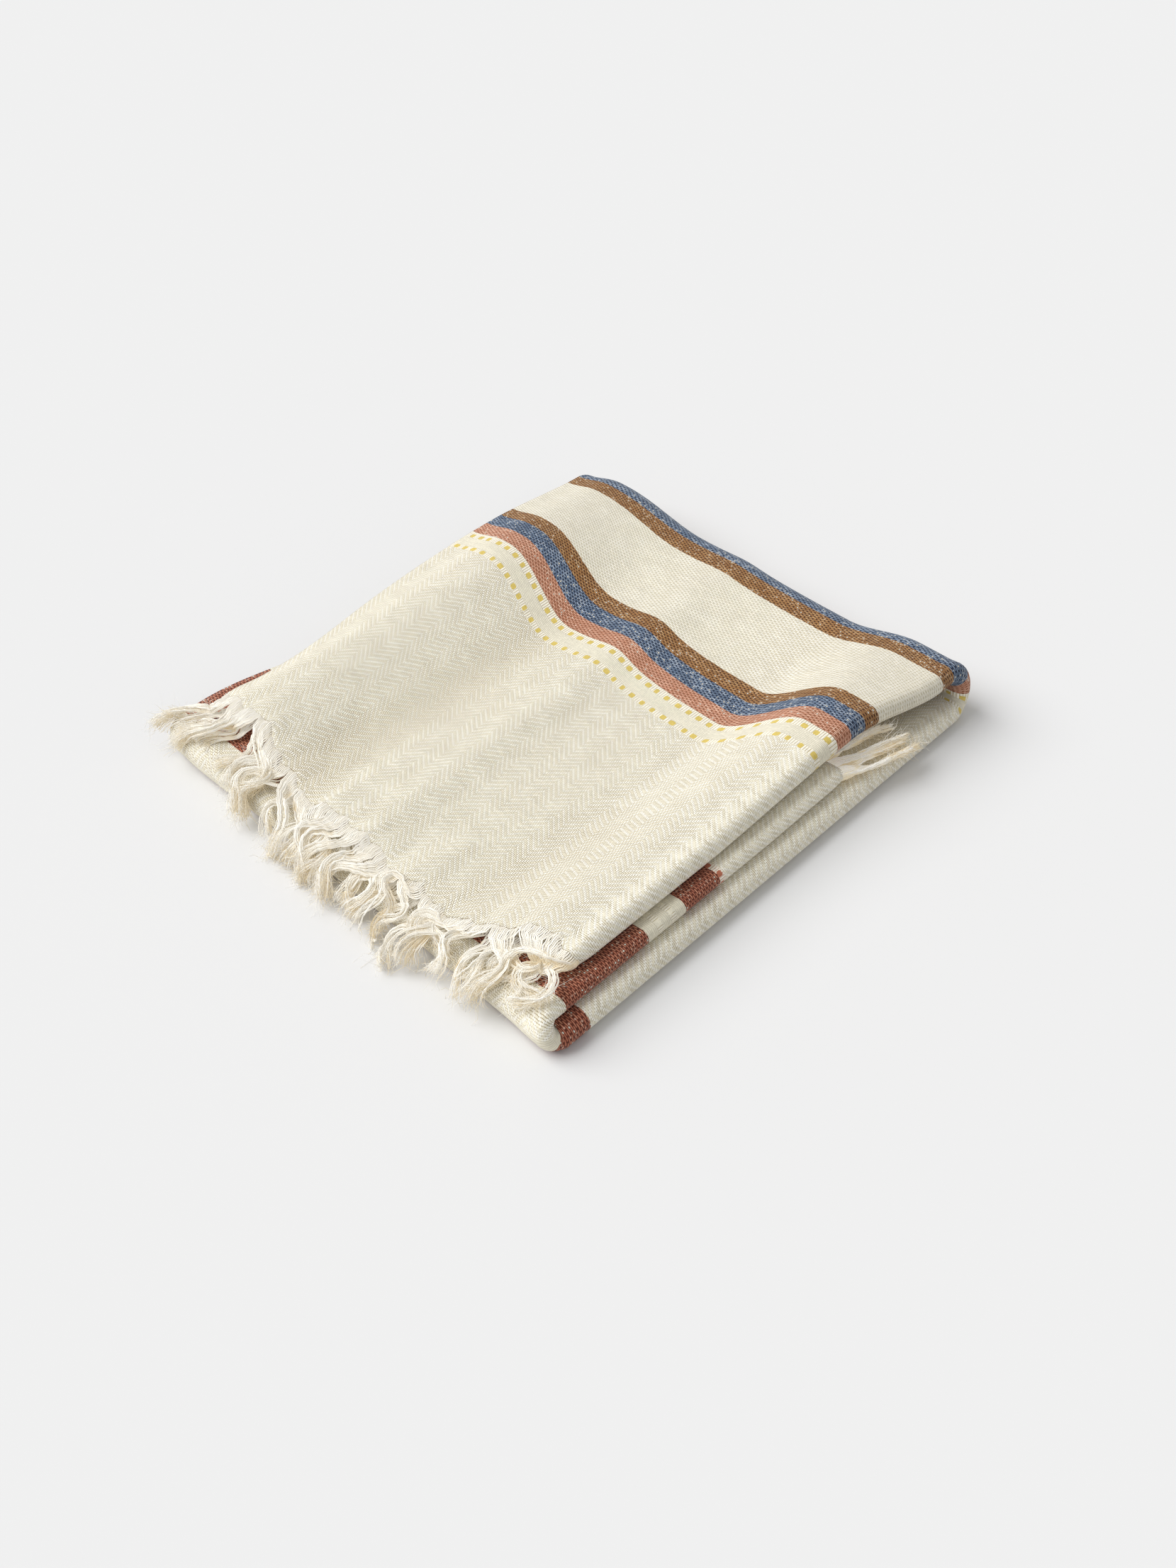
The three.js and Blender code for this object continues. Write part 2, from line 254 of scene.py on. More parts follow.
@dataclass(frozen=True)
class Folding:
    """How the cloth lies when it is folded.

    Attributes:
        sheet: the cloth's thickness.
        air: the least air between two pairs.
        loop_end: how far inward of a loop its two layers come together.
        lower_air: the share of the spare height that goes under the tucked pair.
        upper_air: the share that goes over it.
        inside_pair: the share that goes to each side of a pair's middle.
        spread: how the top pair spreads towards the back fold.
        drawn_in: how far the top pair is drawn in at the left.
        drawn_at: the y where it is drawn in most.
        drawn_width: how long that part is.
        drawn_droop: how much further its edge droops there.
        bulge: how far the tucked pair bulges out at the left.
        bulge_at: the y where it bulges most.
        bulge_width: how long that part is.
        root_line: the line where the front yarns start.
        stripe_line: a line near the bands, which wave as it does.
        back_line: the line where the back fold starts to turn.
        stripe_share: how far along the top pair the stripe line lies.
        hollow_left: how the hollow along the top face eases in from the left.
        hollow_deeper: how it deepens past the middle.
        hollow_right: how it eases out to the right.
        ridge_at: the x of the low ridge in it.
        ridge_width: how wide that ridge is.
        ridge_by: how much of the hollow it fills.
        side_height: the height of the top face at its sides.
        crest: how the sides rise to a crest.
        fall: how they fall again towards the back fold.
        hollow_height: the height of the hollow's floor.
        rise: how that floor rises towards the back fold.
        left_edge: how the left edge droops.
        front_turn: the y where the front fold starts to turn.
        tucked_end: the y where the tucked pair ends.
        creases: the soft ridges and troughs in the top pair.
        creases_fade: the y where the creases start to fade, and where they are gone.
        flutter: the sines by which the cloth's end waves: how far, how long and their phase.
        flutter_over: how far from its end the cloth still waves.
        flutter_lift: how much it waves up and down, against forward and back.
    """

    sheet: float = 1.8
    air: float = 0.6
    loop_end: float = 45.0
    lower_air: float = 0.3
    upper_air: float = 0.34
    inside_pair: float = 0.06
    spread: Slope = Slope(60, 60, 8.5)
    drawn_in: float = 8.0
    drawn_at: float = -92.0
    drawn_width: float = 48.0
    drawn_droop: float = 3.0
    bulge: float = 15.0
    bulge_at: float = -118.0
    bulge_width: float = 54.0
    root_line: Line = Line(-120, -136)
    stripe_line: Line = Line(62.5, 44.5)
    back_line: Line = Line(127, 121.5)
    stripe_share: float = 0.7
    hollow_left: Slope = Slope(-99, 60)
    hollow_deeper: Slope = Slope(-20, 60, 0.14)
    hollow_right: Slope = Slope(58, 38)
    ridge_at: float = -10.0
    ridge_width: float = 13.0
    ridge_by: float = 0.13
    side_height: float = 29.0
    crest: Slope = Slope(-60, 120, 6)
    fall: Slope = Slope(62, 65, 4)
    hollow_height: float = 21.0
    rise: Slope = Slope(60, 60, 6.5)
    left_edge: Slope = Slope(104, 24, 5)
    front_turn: float = -142.0
    tucked_end: float = 45.0
    creases: tuple[Crease, ...] = ()
    creases_fade: tuple[float, float] = (95, 125)
    flutter: tuple[tuple[float, float, float], ...] = (
        (1.3, 31, 0.4), (0.9, 13.5, 2.1), (0.5, 7.6, 1.0))
    flutter_over: float = 22.0
    flutter_lift: float = 0.45

    def fluttered(self, reach: Array) -> Array:
        """How far the cloth's end waves: a sum of sines of the way across it."""
        return sum(by * np.sin(2 * np.pi * reach / length + phase) for by, length, phase in self.flutter)

    def hollow(self, x: Array) -> Array:
        """How much of the hollow there is at x: it eases in from the left, deepens past the
        middle, has a low ridge and eases out to the right."""
        left = self.hollow_left.at(x) * (1 - self.hollow_deeper.by)
        ridge = self.ridge_by * bell(x - self.ridge_at, self.ridge_width)
        return left + self.hollow_deeper.at(x) - ridge - self.hollow_right.at(x)

    def line(self, line: Line, x: Array) -> Array:
        """The y of a line across the top pair, from its side to its hollow by the hollow's share."""
        return lerp(line.side, line.hollow, self.hollow(x))

    def top_height(self, x: Array, y: Array) -> Array:
        """The height of the top face: from the sides' crest to the hollow's floor by the
        hollow's share, less the droop of the left edge."""
        side = self.side_height + self.crest.at(y) - self.fall.at(y)
        middle = self.hollow_height + self.rise.at(y)
        droop = self.left_edge.by + self.drawn_droop * bell(y - self.drawn_at, self.drawn_width)
        return lerp(side, middle, self.hollow(x)) - droop * self.left_edge.at(-x) / self.left_edge.by

    def right(self, level: Level, y: Array) -> Array:
        """Where a pair's loop reaches; the top pair spreads towards the back."""
        return level.value.right + (self.spread.at(y) if level is Level.TOP else 0)

    def left(self, level: Level, outer: Array, y: Array) -> Array:
        """Where a layer's edge lies; near the front the top pair is drawn in and the tucked one
        bulges out from under it."""
        edge = np.where(outer, level.value.outer_left, level.value.inner_left)
        if level is Level.TOP:
            edge = edge + self.drawn_in * bell(y - self.drawn_at, self.drawn_width)
        if level is Level.TUCKED:
            edge = edge - self.bulge * bell(y - self.bulge_at, self.bulge_width)
        return edge

    def half_gap(self, level: Level, x: Array, y: Array) -> Array:
        """Half the distance between a pair's layers: the loop's half height, easing to the flat
        one over the width of the loop's end."""
        pair = level.value
        inward = self.right(level, y) - pair.loop - x
        return lerp(pair.loop, pair.flat, ease(inward, 0, self.loop_end))

    def levels(self, x: Array, y: Array) -> tuple[dict[Level, Array], dict[Level, Array]]:
        """Works out the stack of pairs.

        The sheets and the least air fill a part of the height, and what is left is shared
        between the pairs and the air under and over the tucked pair.

        Args:
            x: places across the towel.
            y: places along it.

        Returns:
            Half the gap of each pair, and the height of its middle.
        """
        half = {level: self.half_gap(level, x, y) for level in Level}
        filled = 3 * self.sheet + 2 * self.air + 2 * sum(half.values())
        spare = np.maximum(0, self.top_height(x, y) - filled)
        half = {level: gap + self.inside_pair * spare for level, gap in half.items()}
        bottom = self.sheet / 2 + half[Level.BOTTOM]
        tucked = bottom + half[Level.BOTTOM] + self.sheet + self.air + half[Level.TUCKED]
        tucked = tucked + self.lower_air * spare
        top = tucked + half[Level.TUCKED] + self.sheet + self.air + half[Level.TOP]
        top = top + self.upper_air * spare
        return half, {Level.BOTTOM: bottom, Level.TUCKED: tucked, Level.TOP: top}

    def y_at(self, stretch: Stretch, share: Array, x: Array) -> Array:
        """The y of points of a stretch, by their share of the way through it."""
        back = self.line(self.back_line, x)
        if stretch is Stretch.TOP:
            stripe = self.line(self.stripe_line, x)
            before = lerp(self.line(self.root_line, x), stripe, share / self.stripe_share)
            after = lerp(stripe, back, (share - self.stripe_share) / (1 - self.stripe_share))
            return np.where(share < self.stripe_share, before, after)
        if stretch is Stretch.BACK_FOLD:
            return back
        if stretch is Stretch.BOTTOM:
            return lerp(back, self.front_turn, share)
        if stretch is Stretch.FRONT_FOLD:
            return self.front_turn + 0 * x
        return lerp(self.front_turn, self.tucked_end, share) + 0 * x

    def relief(self, x: Array, y: Array) -> Array:
        """How much the creases lift or lower the top pair; they end at the back fold."""
        lifted = sum((crease.at(x, y) for crease in self.creases), 0 * x)
        return lifted * (1 - ease(y, *self.creases_fade))

    def points(self, stretch: Stretch, share: Array, place: Place) -> Array:
        """The middle of the sheet.

        In a pair a layer lies half the pair's gap above or below its middle. Round a fold it
        turns in half a circle from one pair to the other.

        Args:
            stretch: the stretch of the cloth.
            share: the share of the way through it, of a shape that goes with the places.
            place: the places across the cloth.

        Returns:
            The points, with x, y and z along the last axis.
        """
        leg = stretch.value
        mix = 0 if leg.first is leg.second else share

        def between(value: Callable[[Level], Array]) -> Array:
            return lerp(value(leg.first), value(leg.second), mix)

        loop = between(lambda level: level.value.loop)
        edge_y = self.y_at(stretch, share, np.float64(leg.first.value.right))
        centre = between(lambda level: self.right(level, edge_y)) - loop
        left_y = self.y_at(stretch, share, np.float64(leg.first.value.outer_left))
        left = between(lambda level: self.left(level, place.lift > 0, left_y))
        x = lerp(centre, left, place.across)
        y = self.y_at(stretch, share, x)
        half, middle = self.levels(x, y)
        if leg.first is leg.second:
            z = middle[leg.first] + leg.way * place.lift * half[leg.first]
            if stretch is Stretch.TOP:
                near_end = 1 - ease(share * leg.length, 0, self.flutter_over)
                wave = self.fluttered(place.reach) * near_end
                z = z + self.relief(x, y) + self.flutter_lift * wave
                y = y + wave
        else:
            angle = np.pi * share
            radius = (middle[leg.first] - middle[leg.second]) / 2 * leg.way
            gap = lerp(half[leg.first], half[leg.second], (1 - np.cos(angle)) / 2)
            reach = radius + place.lift * gap
            y = y + leg.way * reach * np.sin(angle)
            z = (middle[leg.first] + middle[leg.second]) / 2 + leg.way * reach * np.cos(angle)
        shown_x = x + loop * place.cosine
        return np.stack(np.broadcast_arrays(shown_x, y, z), axis=-1)

    def front_support(self, x: Array, y: Array, off: Array) -> Array:
        """The height of what the front yarns lie on, and some way off it: the tucked pair, the
        round of the front fold and, past that, the floor."""
        half, middle = self.levels(x, np.maximum(y, self.front_turn))
        crown = middle[Level.TUCKED] + half[Level.TUCKED] + self.sheet / 2
        radius = crown / 2 + off
        share = np.clip((self.front_turn - y) / radius, 0, 1)
        over_fold = crown / 2 + radius * np.sqrt(1 - share * share)
        past = np.where(share < 1, over_fold, off)
        return np.where(y >= self.front_turn, crown + off, past)

    def pocket(self, x: Array, y: Array) -> tuple[Array, Array]:
        """The floor and the roof of the pocket in the back fold, where the tucked yarns lie."""
        half, middle = self.levels(x, y)
        floor = middle[Level.BOTTOM] + half[Level.BOTTOM] + self.sheet / 2
        roof = middle[Level.TOP] - half[Level.TOP] - self.sheet / 2
        return floor, roof


@dataclass(frozen=True)
class RowFrame:
    """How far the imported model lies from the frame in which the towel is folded, in mm."""

    shift: Array

    @classmethod
    def fitted(cls, points: Array) -> "RowFrame":
        """Puts the middle of the cloth's points over the middle of its solid."""
        low, high = (np.array(corner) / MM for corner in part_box("cloth"))
        middle = (points.min(0) + points.max(0)) / 2
        shift = (low + high) / 2 - middle
        return cls(np.array([shift[0], shift[1], 0.0]))

    def metres(self, points: Array) -> Array:
        """Points in millimetres as points of the row's frame in metres."""
        return (points + self.shift) * MM


class Value:
    """A number in a shader; Python's operators on it add Math nodes."""

    def __init__(self, shader: "Shader", socket: bpy.types.NodeSocket) -> None:
        """Wraps an output socket of a shader's node."""
        self.shader = shader
        self.socket = socket

    def _math(self, operation: str, *values: object) -> "Value":
        """Adds a Math node on these values."""
        settings = {"operation": operation}
        node = self.shader.node("ShaderNodeMath", settings, dict(enumerate(values)))
        return Value(self.shader, node.outputs[0])

    def __add__(self, other: object) -> "Value":
        """Adds a value."""
        return self._math("ADD", self, other)

    __radd__ = __add__

    def __sub__(self, other: object) -> "Value":
        """Takes a value away."""
        return self._math("SUBTRACT", self, other)

    def __rsub__(self, other: object) -> "Value":
        """Takes this value away from another."""
        return self._math("SUBTRACT", other, self)

    def __mul__(self, other: object) -> "Value":
        """Multiplies by a value."""
        return self._math("MULTIPLY", self, other)

    __rmul__ = __mul__

    def __truediv__(self, other: object) -> "Value":
        """Divides by a value."""
        return self._math("DIVIDE", self, other)

    def __rtruediv__(self, other: object) -> "Value":
        """Divides another value by this one."""
        return self._math("DIVIDE", other, self)

    def __mod__(self, other: float) -> "Value":
        """What is left over, never below zero."""
        return self._math("FLOORED_MODULO", self, other)

    def __pow__(self, other: float) -> "Value":
        """Raises to a power."""
        return self._math("POWER", self, other)

    def __rpow__(self, other: float) -> "Value":
        """Raises another number to this power."""
        return self._math("POWER", other, self)

    def __lt__(self, other: object) -> "Value":
        """1 where it is under another value."""
        return self._math("LESS_THAN", self, other)

    def __gt__(self, other: object) -> "Value":
        """1 where it is over another value."""
        return self._math("GREATER_THAN", self, other)

    def floor(self) -> "Value":
        """The whole number below it."""
        return self._math("FLOOR", self)

    def sine(self) -> "Value":
        """Its sine."""
        return self._math("SINE", self)

    def least(self, other: object) -> "Value":
        """The smaller of two values."""
        return self._math("MINIMUM", self, other)

    def most(self, other: object) -> "Value":
        """The larger of two values."""
        return self._math("MAXIMUM", self, other)

    def within(self, start: float, end: float) -> "Value":
        """1 between two numbers."""
        return self._math("COMPARE", self, (start + end) / 2, (end - start) / 2)

    def arch(self) -> "Value":
        """A round arch over 0 to 1: one less the square of twice the distance from a half."""
        off = self * 2 - 1
        return 1 - off * off

    def mixed(self, low: object, high: object) -> "Value":
        """Goes from low to high as this share goes from 0 to 1."""
        return (high - low) * self + low if isinstance(high, Value) else self * (high - low) + low


class Shader:
    """The nodes of one material."""

    def __init__(self, name: str) -> None:
        """Starts an empty material."""
        self.material = bpy.data.materials.new(name)
        self.material.use_nodes = True
        self.tree = self.material.node_tree
        self.tree.nodes.clear()

    def node(self, kind: str, settings: dict[str, object], inputs: dict) -> bpy.types.Node:
        """Adds a node.

        Args:
            kind: the node's type.
            settings: its own settings, set first.
            inputs: what goes into its sockets, a number, colour, socket or Value, by name or index.

        Returns:
            The node.
        """
        node = self.tree.nodes.new(kind)
        for key, value in settings.items():
            setattr(node, key, value)
        for key, value in inputs.items():
            if isinstance(value, Value):
                value = value.socket
            if isinstance(value, bpy.types.NodeSocket):
                self.tree.links.new(value, node.inputs[key])
            elif isinstance(value, tuple) and len(value) == 3 and node.inputs[key].type == "RGBA":
                node.inputs[key].default_value = (*value, 1)
            else:
                node.inputs[key].default_value = value
        return node

    def mix(self, share: object, first: object, second: object, blend: str = "MIX") -> object:
        """Mixes two colours by a share and returns the colour's socket."""
        settings = {"data_type": "RGBA", "blend_type": blend}
        inputs = {0: share, 6: first, 7: second}
        return self.node("ShaderNodeMix", settings, inputs).outputs[2]

    def map_place(self) -> tuple[Value, Value]:
        """The two coordinates of the piece's own map, in millimetres."""
        uv = self.node("ShaderNodeUVMap", {"uv_map": UV_NAME}, {})
        parts = self.node("ShaderNodeSeparateXYZ", {}, {0: uv.outputs[0]})
        return Value(self, parts.outputs[0]) / MM, Value(self, parts.outputs[1]) / MM

    def noise(self, x: object, y: object, scale: float, detail: float = 1.0) -> Value:
        """Smooth noise from 0 to 1 over two coordinates."""
        place = self.node("ShaderNodeCombineXYZ", {}, {0: x, 1: y})
        inputs = {"Vector": place.outputs[0], "Scale": scale, "Detail": detail}
        return Value(self, self.node("ShaderNodeTexNoise", {}, inputs).outputs[0])

    def scatter(self, x: object, y: object) -> Value:
        """A number from 0 to 1 that differs from one whole pair of coordinates to the next."""
        place = self.node("ShaderNodeCombineXYZ", {}, {0: x, 1: y})
        settings = {"noise_dimensions": "2D"}
        noise = self.node("ShaderNodeTexWhiteNoise", settings, {0: place.outputs[0]})
        return Value(self, noise.outputs[0])

    def tinted(self, colour: object, shade: Value) -> object:
        """A colour made lighter or darker by a number, as a colour's socket."""
        grey = self.node("ShaderNodeCombineColor", {}, {0: shade, 1: shade, 2: shade})
        return self.mix(1.0, colour, grey.outputs[0], "MULTIPLY")

    def attribute(self, name: str) -> Value:
        """A number that the mesh holds at its points."""
        attribute = self.node("ShaderNodeAttribute", {"attribute_name": name}, {})
        return Value(self, attribute.outputs["Fac"])

    def finish(self, colour: object, roughness: object, height: Value, depth: float, sheen: float,
               painted_glow: float = 0.0) -> None:
        """Joins the colour, the roughness and the relief in the surface.

        Args:
            colour: the base colour.
            roughness: the roughness.
            height: the relief, from 0 to 1.
            depth: how deep the relief is, in metres.
            sheen: how much soft sheen the fibres give.
            painted_glow: how much of its colour it gives off, painted light that stands in for the light
                that fine fibres let through.
        """
        bump = self.node("ShaderNodeBump", {}, {"Height": height, "Distance": depth, "Strength": 1.0})
        inputs = {"Base Color": colour, "Roughness": roughness, "Normal": bump.outputs[0]}
        inputs |= {"Sheen Weight": sheen, "Sheen Roughness": SHEEN_ROUGHNESS,
                   "Specular IOR Level": COTTON_SPECULAR}
        # Painted light: the surface gives off its own colour.
        if painted_glow > 0:
            inputs |= {"Emission Color": colour, "Emission Strength": painted_glow}
        surface = self.node("ShaderNodeBsdfPrincipled", {}, inputs)
        self.node("ShaderNodeOutputMaterial", {}, {0: surface.outputs[0]})


UV_NAME = "woven"
# The attribute that carries painted shade: the troughs' depth in the cloth, and in the fringes how deep a
# point lies from the light times its yarn's own tone.
TONE_AND_SHADE_NAME = "tone"
SHEEN_ROUGHNESS = 0.5
COTTON_SPECULAR = 0.2


@dataclass(frozen=True)
class DyeAndShading:
    """The colours of one kind of weave in the cloth.

    Attributes:
        yarn: the yarn that shows.
        light: the same yarn where it is lightest: a painted highlight along the floats in a
        band, the warp where it lies on top in the ground, and the yarn of the rows of bars.
        pit: the painted shade that shows between the yarns, where they lie low.
        specks: the share of the pits in which the undyed yarn shows.
    """

    yarn: Colour
    light: Colour
    pit: Colour
    specks: float = 0.0


# In each, light is a painted highlight in the bands, and pit is painted shade between the yarns.
NATURAL = DyeAndShading(linear(239, 233, 212), linear(251, 248, 236), linear(146, 120, 66))
CREAM = DyeAndShading(linear(247, 243, 231), linear(250, 246, 236), linear(206, 197, 172))
LINE = DyeAndShading(linear(232, 226, 206), linear(241, 235, 219), linear(182, 167, 126))
BROWN = DyeAndShading(linear(174, 124, 70), linear(218, 176, 124), linear(82, 48, 20), 0.08)
BLUE = DyeAndShading(linear(108, 128, 154), linear(184, 198, 216), linear(30, 42, 64), 0.12)
PINK = DyeAndShading(linear(218, 160, 132), linear(242, 198, 172), linear(146, 92, 64), 0.06)
TERRACOTTA = DyeAndShading(linear(184, 112, 86), linear(216, 152, 122), linear(98, 46, 30), 0.1)
GOLD = linear(216, 192, 104)
SPECK = linear(214, 208, 194)


@dataclass(frozen=True)
class Band:
    """A woven band across the cloth: where it starts and ends, and its dye."""

    start: float
    end: float
    # The dye's colours, with its painted highlight and painted shade.
    dye_and_shading: DyeAndShading


@dataclass(frozen=True)
class BarRow:
    """A row of small bars with a dash after every few of them.

    Attributes:
        start: where the bars start.
        end: where they end.
        dash: where the middle of the dashes lies.
        colour: the colour of the dashes.
        gap: the colour of the low places between the bars: painted shade by default, and the terracotta
            yarn's own colour in the terracotta row.
    """

    start: float
    end: float
    dash: float
    colour: Colour
    gap: Colour = linear(186, 168, 112)


BANDS = (
    Band(163.5, 173.5, PINK),
    Band(173.5, 184.5, BLUE),
    Band(184.5, 195, BROWN),
    Band(195, 245, CREAM),
    Band(245, 255.5, BROWN),
    Band(255.5, 266.5, BLUE),
    Band(266.5, 276.5, PINK),
    Band(544, 560.5, TERRACOTTA),
    Band(582, 630.5, TERRACOTTA),
    Band(653.5, 675.5, TERRACOTTA),
)

LINES = ((150.9, 158.4), (281.4, 287.2), (560.5, 566), (630.5, 636.5), (639.8, 644.5), (647.8, 653.5))

BAR_ROWS = (
    BarRow(147.7, 150.9, 149.3, GOLD),
    BarRow(158.4, 163.5, 160.2, GOLD),
    BarRow(276.5, 281.4, 279.8, GOLD),
    BarRow(287.2, 290.4, 288.8, GOLD),
    BarRow(636.5, 639.8, 638.1, NATURAL.yarn),
    BarRow(644.5, 647.8, 646.2, NATURAL.yarn),
    BarRow(675.5, 678.8, 676.6, TERRACOTTA.yarn, TERRACOTTA.yarn),
)


# Stretches of the cloth that hold one row of dashes at most, so that each row differs.
DASH_LINE_START = 4
DASH_LINE_LENGTH = 10


@dataclass(frozen=True)
class BandWeave:
    """The weave of the bands, as values over the cloth.

    Attributes:
        relief: how high it lies.
        floats: 1 where the weft lies on top.
        highlight_streak: how light a float is: a painted highlight along its middle, uneven from float to
            float.
        crossing: an arch over each crossing of warp and weft.
        fleck: an uneven number for each crossing.
        slack: another one.
        pick: an arch over each yarn of the weft.
    """

    relief: Value
    floats: Value
    highlight_streak: Value
    crossing: Value
    fleck: Value
    slack: Value
    pick: Value


@dataclass(frozen=True)
class WovenCotton:
    """The cloth's finish: a herringbone ground with bands, lines and rows of bars and dashes.

    Attributes:
        pitch: the distance from one yarn to the next in the bands.
        ground_pitch: the same in the ground, which is finer.
        arm: how many yarns run one way before the herringbone turns.
        twill: how many yarns a yarn of the ground passes over, and then under.
        repeat: how many yarns a yarn of a band passes over and under.
        band_step: how many yarns further on the next row of a band starts.
        drift: how far the yarns wander across and along in waves some 30 mm long.
        loose: how far they stray in waves some 3 mm long.
        bar_pitch: the distance from one bar to the next.
        dash_pitch: the distance from one dash to the next.
        dash_half: half the width of the smallest dash.
        dash_more: how much wider the widest dash is on each side.
        dash_height: half the height of a dash.
        dash_aside: how far a dash may lie out of line.
        rib_reach: how far from the middle of the loop the weft still shows as ribs.
        ribbing: how much it shows there.
        frayed: how far a band's edge strays.
        ground_pits: how narrow the pits of the ground are, as a power of their depth.
        band_pits: the same in the bands.
        pit_tones: how dark the pits' painted shade is where the weave is closest and where it is loosest.
        trough_shade: how much darker a trough that is a millimetre deep makes the pits, as painted shade.
        crossing_tones: how light the darkest and the lightest crossing are.
        slub_tones: how light the darkest and the lightest length of weft are.
        relief: how deep the yarns lie, in metres.
    """

    pitch: float = 0.88
    ground_pitch: float = 0.8
    arm: float = 9.0
    twill: float = 2.0
    repeat: float = 4.0
    band_step: float = 2.0
    drift: tuple[float, float] = (0.6, 0.4)
    loose: float = 0.7
    bar_pitch: float = 1.25
    dash_pitch: float = 6.7
    dash_half: float = 1.1
    dash_more: float = 0.6
    dash_height: float = 1.5
    dash_aside: float = 1.3
    rib_reach: float = 16.0
    ribbing: float = 0.65
    frayed: float = 0.7
    ground_pits: float = 3.6
    band_pits: float = 1.2
    pit_tones: tuple[float, float] = (0.3, 1.9)
    trough_shade: float = 0.5
    crossing_tones: tuple[float, float] = (0.92, 1.04)
    slub_tones: tuple[float, float] = (0.9, 1.1)
    relief: float = 0.0002

    def dress(self) -> bpy.types.Material:
        """Builds the material.

        A yarn is an arch across its own way. In the ground the warp lies on top over two yarns
        of four, one further on in each next yarn, and the herringbone turns that way round
        after each arm. In a band the weft lies on top over three yarns of four, two further on
        in each next row. What lies low takes a painted shade, more of it where the cloth is
        hollow, and the floats of a band get a painted highlight along their middles.

        Returns:
            The material.
        """
        shader = Shader("woven_cotton")
        across, along = shader.map_place()
        drift = shader.noise(across, along, 0.035, 2.0) - 0.5
        loose = (shader.noise(across, along, 0.4) - 0.5) * self.loose
        moved_across = across + drift * self.drift[0] + loose
        moved_along = along + drift * self.drift[1] - loose
        ground_end = moved_across / self.ground_pitch
        ground_pick = moved_along / self.ground_pitch
        warp_up, twill = self._twill(ground_end, ground_pick)
        weave = self._band_weave(shader, moved_across / self.pitch, moved_along / self.pitch)

        edge = along + (shader.noise(across, along, 0.9) - 0.5) * self.frayed
        in_band = sum(edge.within(band.start, band.end) for band in BANDS)
        in_lines = sum(along.within(start, end) for start, end in LINES)
        in_rows = sum(along.within(row.start, row.end) for row in BAR_ROWS)
        dash = self._dashes(shader, across, along) * in_rows
        ribbed = self._ribs(across)
        relief = self._relief(across, weave, twill, (in_band, ribbed, in_lines, in_rows), dash)

        yarn = shader.mix(warp_up, NATURAL.yarn, NATURAL.light)
        pit = NATURAL.pit
        for band in BANDS:
            mask = edge.within(band.start, band.end)
            # The band's yarn gets a painted highlight along its floats, and its pits get painted shade
            # with a few undyed specks.
            yarn = shader.mix(mask, yarn, shader.mix(weave.highlight_streak, band.dye_and_shading.yarn, band.dye_and_shading.light))
            speck = (weave.fleck < band.dye_and_shading.specks) * (weave.crossing > 0.3)
            pit = shader.mix(mask, pit, shader.mix(speck, band.dye_and_shading.pit, SPECK))
        yarn = shader.mix(in_lines, yarn, LINE.yarn)
        pit = shader.mix(in_lines, pit, LINE.pit)
        yarn = shader.mix(in_rows, yarn, LINE.light)
        for row in BAR_ROWS:
            mask = along.within(row.start, row.end)
            pit = shader.mix(mask, pit, row.gap)
            yarn = shader.mix(mask * dash, yarn, row.colour)

        # Painted shade: what lies low takes the pit colour, in soft patches of uneven strength.
        softness = shader.noise(across, along, 0.11, 2.0).mixed(*self.pit_tones)
        # Painted shade deepens in the top pair's troughs; on the loop more of it shows to bring out the
        # ribs.
        trough_shade_and_ribs = shader.attribute(TONE_AND_SHADE_NAME) * self.trough_shade + ribbed
        depth = (1 - relief) ** in_band.mixed(self.ground_pits, self.band_pits)
        depth = (depth * (softness + trough_shade_and_ribs)).least(1).most(in_band * (1 - weave.floats))
        colour = shader.mix(depth, yarn, pit)
        slub = shader.noise(across * 0.12, along, 0.5, 2.0).mixed(*self.slub_tones)
        colour = shader.tinted(colour, weave.slack.mixed(*self.crossing_tones) * slub)
        shader.finish(colour, 0.92, relief, self.relief, 0.15)
        return shader.material

    def _ribs(self, across: Value) -> Value:
        """How much of the ribs shows: most on the loop, and less by the square of the distance."""
        off = (across - Place.OUTER - Place.LOOP / 2) / self.rib_reach
        return (1 - off * off).most(0) * self.ribbing

    def _relief(self, across: Value, weave: BandWeave, twill: Value,
                masks: tuple[Value, Value, Value, Value], dash: Value) -> Value:
        """How high the yarns lie.

        Args:
            across: the place across the cloth.
            weave: the weave of the bands.
            twill: the relief of the ground.
            masks: how much there is of a band, of ribs, of plain lines and of rows of bars.
            dash: 1 in the dashes.

        Returns:
            The relief, from 0 to 1.
        """
        in_band, ribbed, in_lines, in_rows = masks
        bar = across / self.bar_pitch
        bar = (bar - bar.floor()).arch()
        relief = in_band.mixed(twill, weave.relief)
        relief = ribbed.mixed(relief, weave.pick)
        relief = in_lines.mixed(relief, weave.pick * 0.8 + 0.2)
        return in_rows.mixed(relief, dash.mixed(bar, weave.pick * 0.5 + 0.5))

    def _band_weave(self, shader: Shader, end: Value, pick: Value) -> BandWeave:
        """The weave of the bands. A float is an arch over the weft's width, and a lower one
        along its length, and where the warp shows it lies low."""
        end_number = end.floor()
        pick_number = pick.floor()
        over_end = (end - end_number).arch()
        over_pick = (pick - pick_number).arch()
        shifted = end + pick_number * self.band_step
        place = shifted % self.repeat
        tone = shader.scatter((shifted / self.repeat).floor(), pick_number)
        floats = place > 1
        over_float = ((place - 1) / (self.repeat - 1)).arch().most(0)
        crossing = over_end * over_pick
        relief = floats.mixed(crossing * 0.3, over_pick * (over_float * 0.45 + 0.55))
        fleck = shader.scatter(end_number, pick_number)
        slack = shader.scatter(pick_number, end_number)
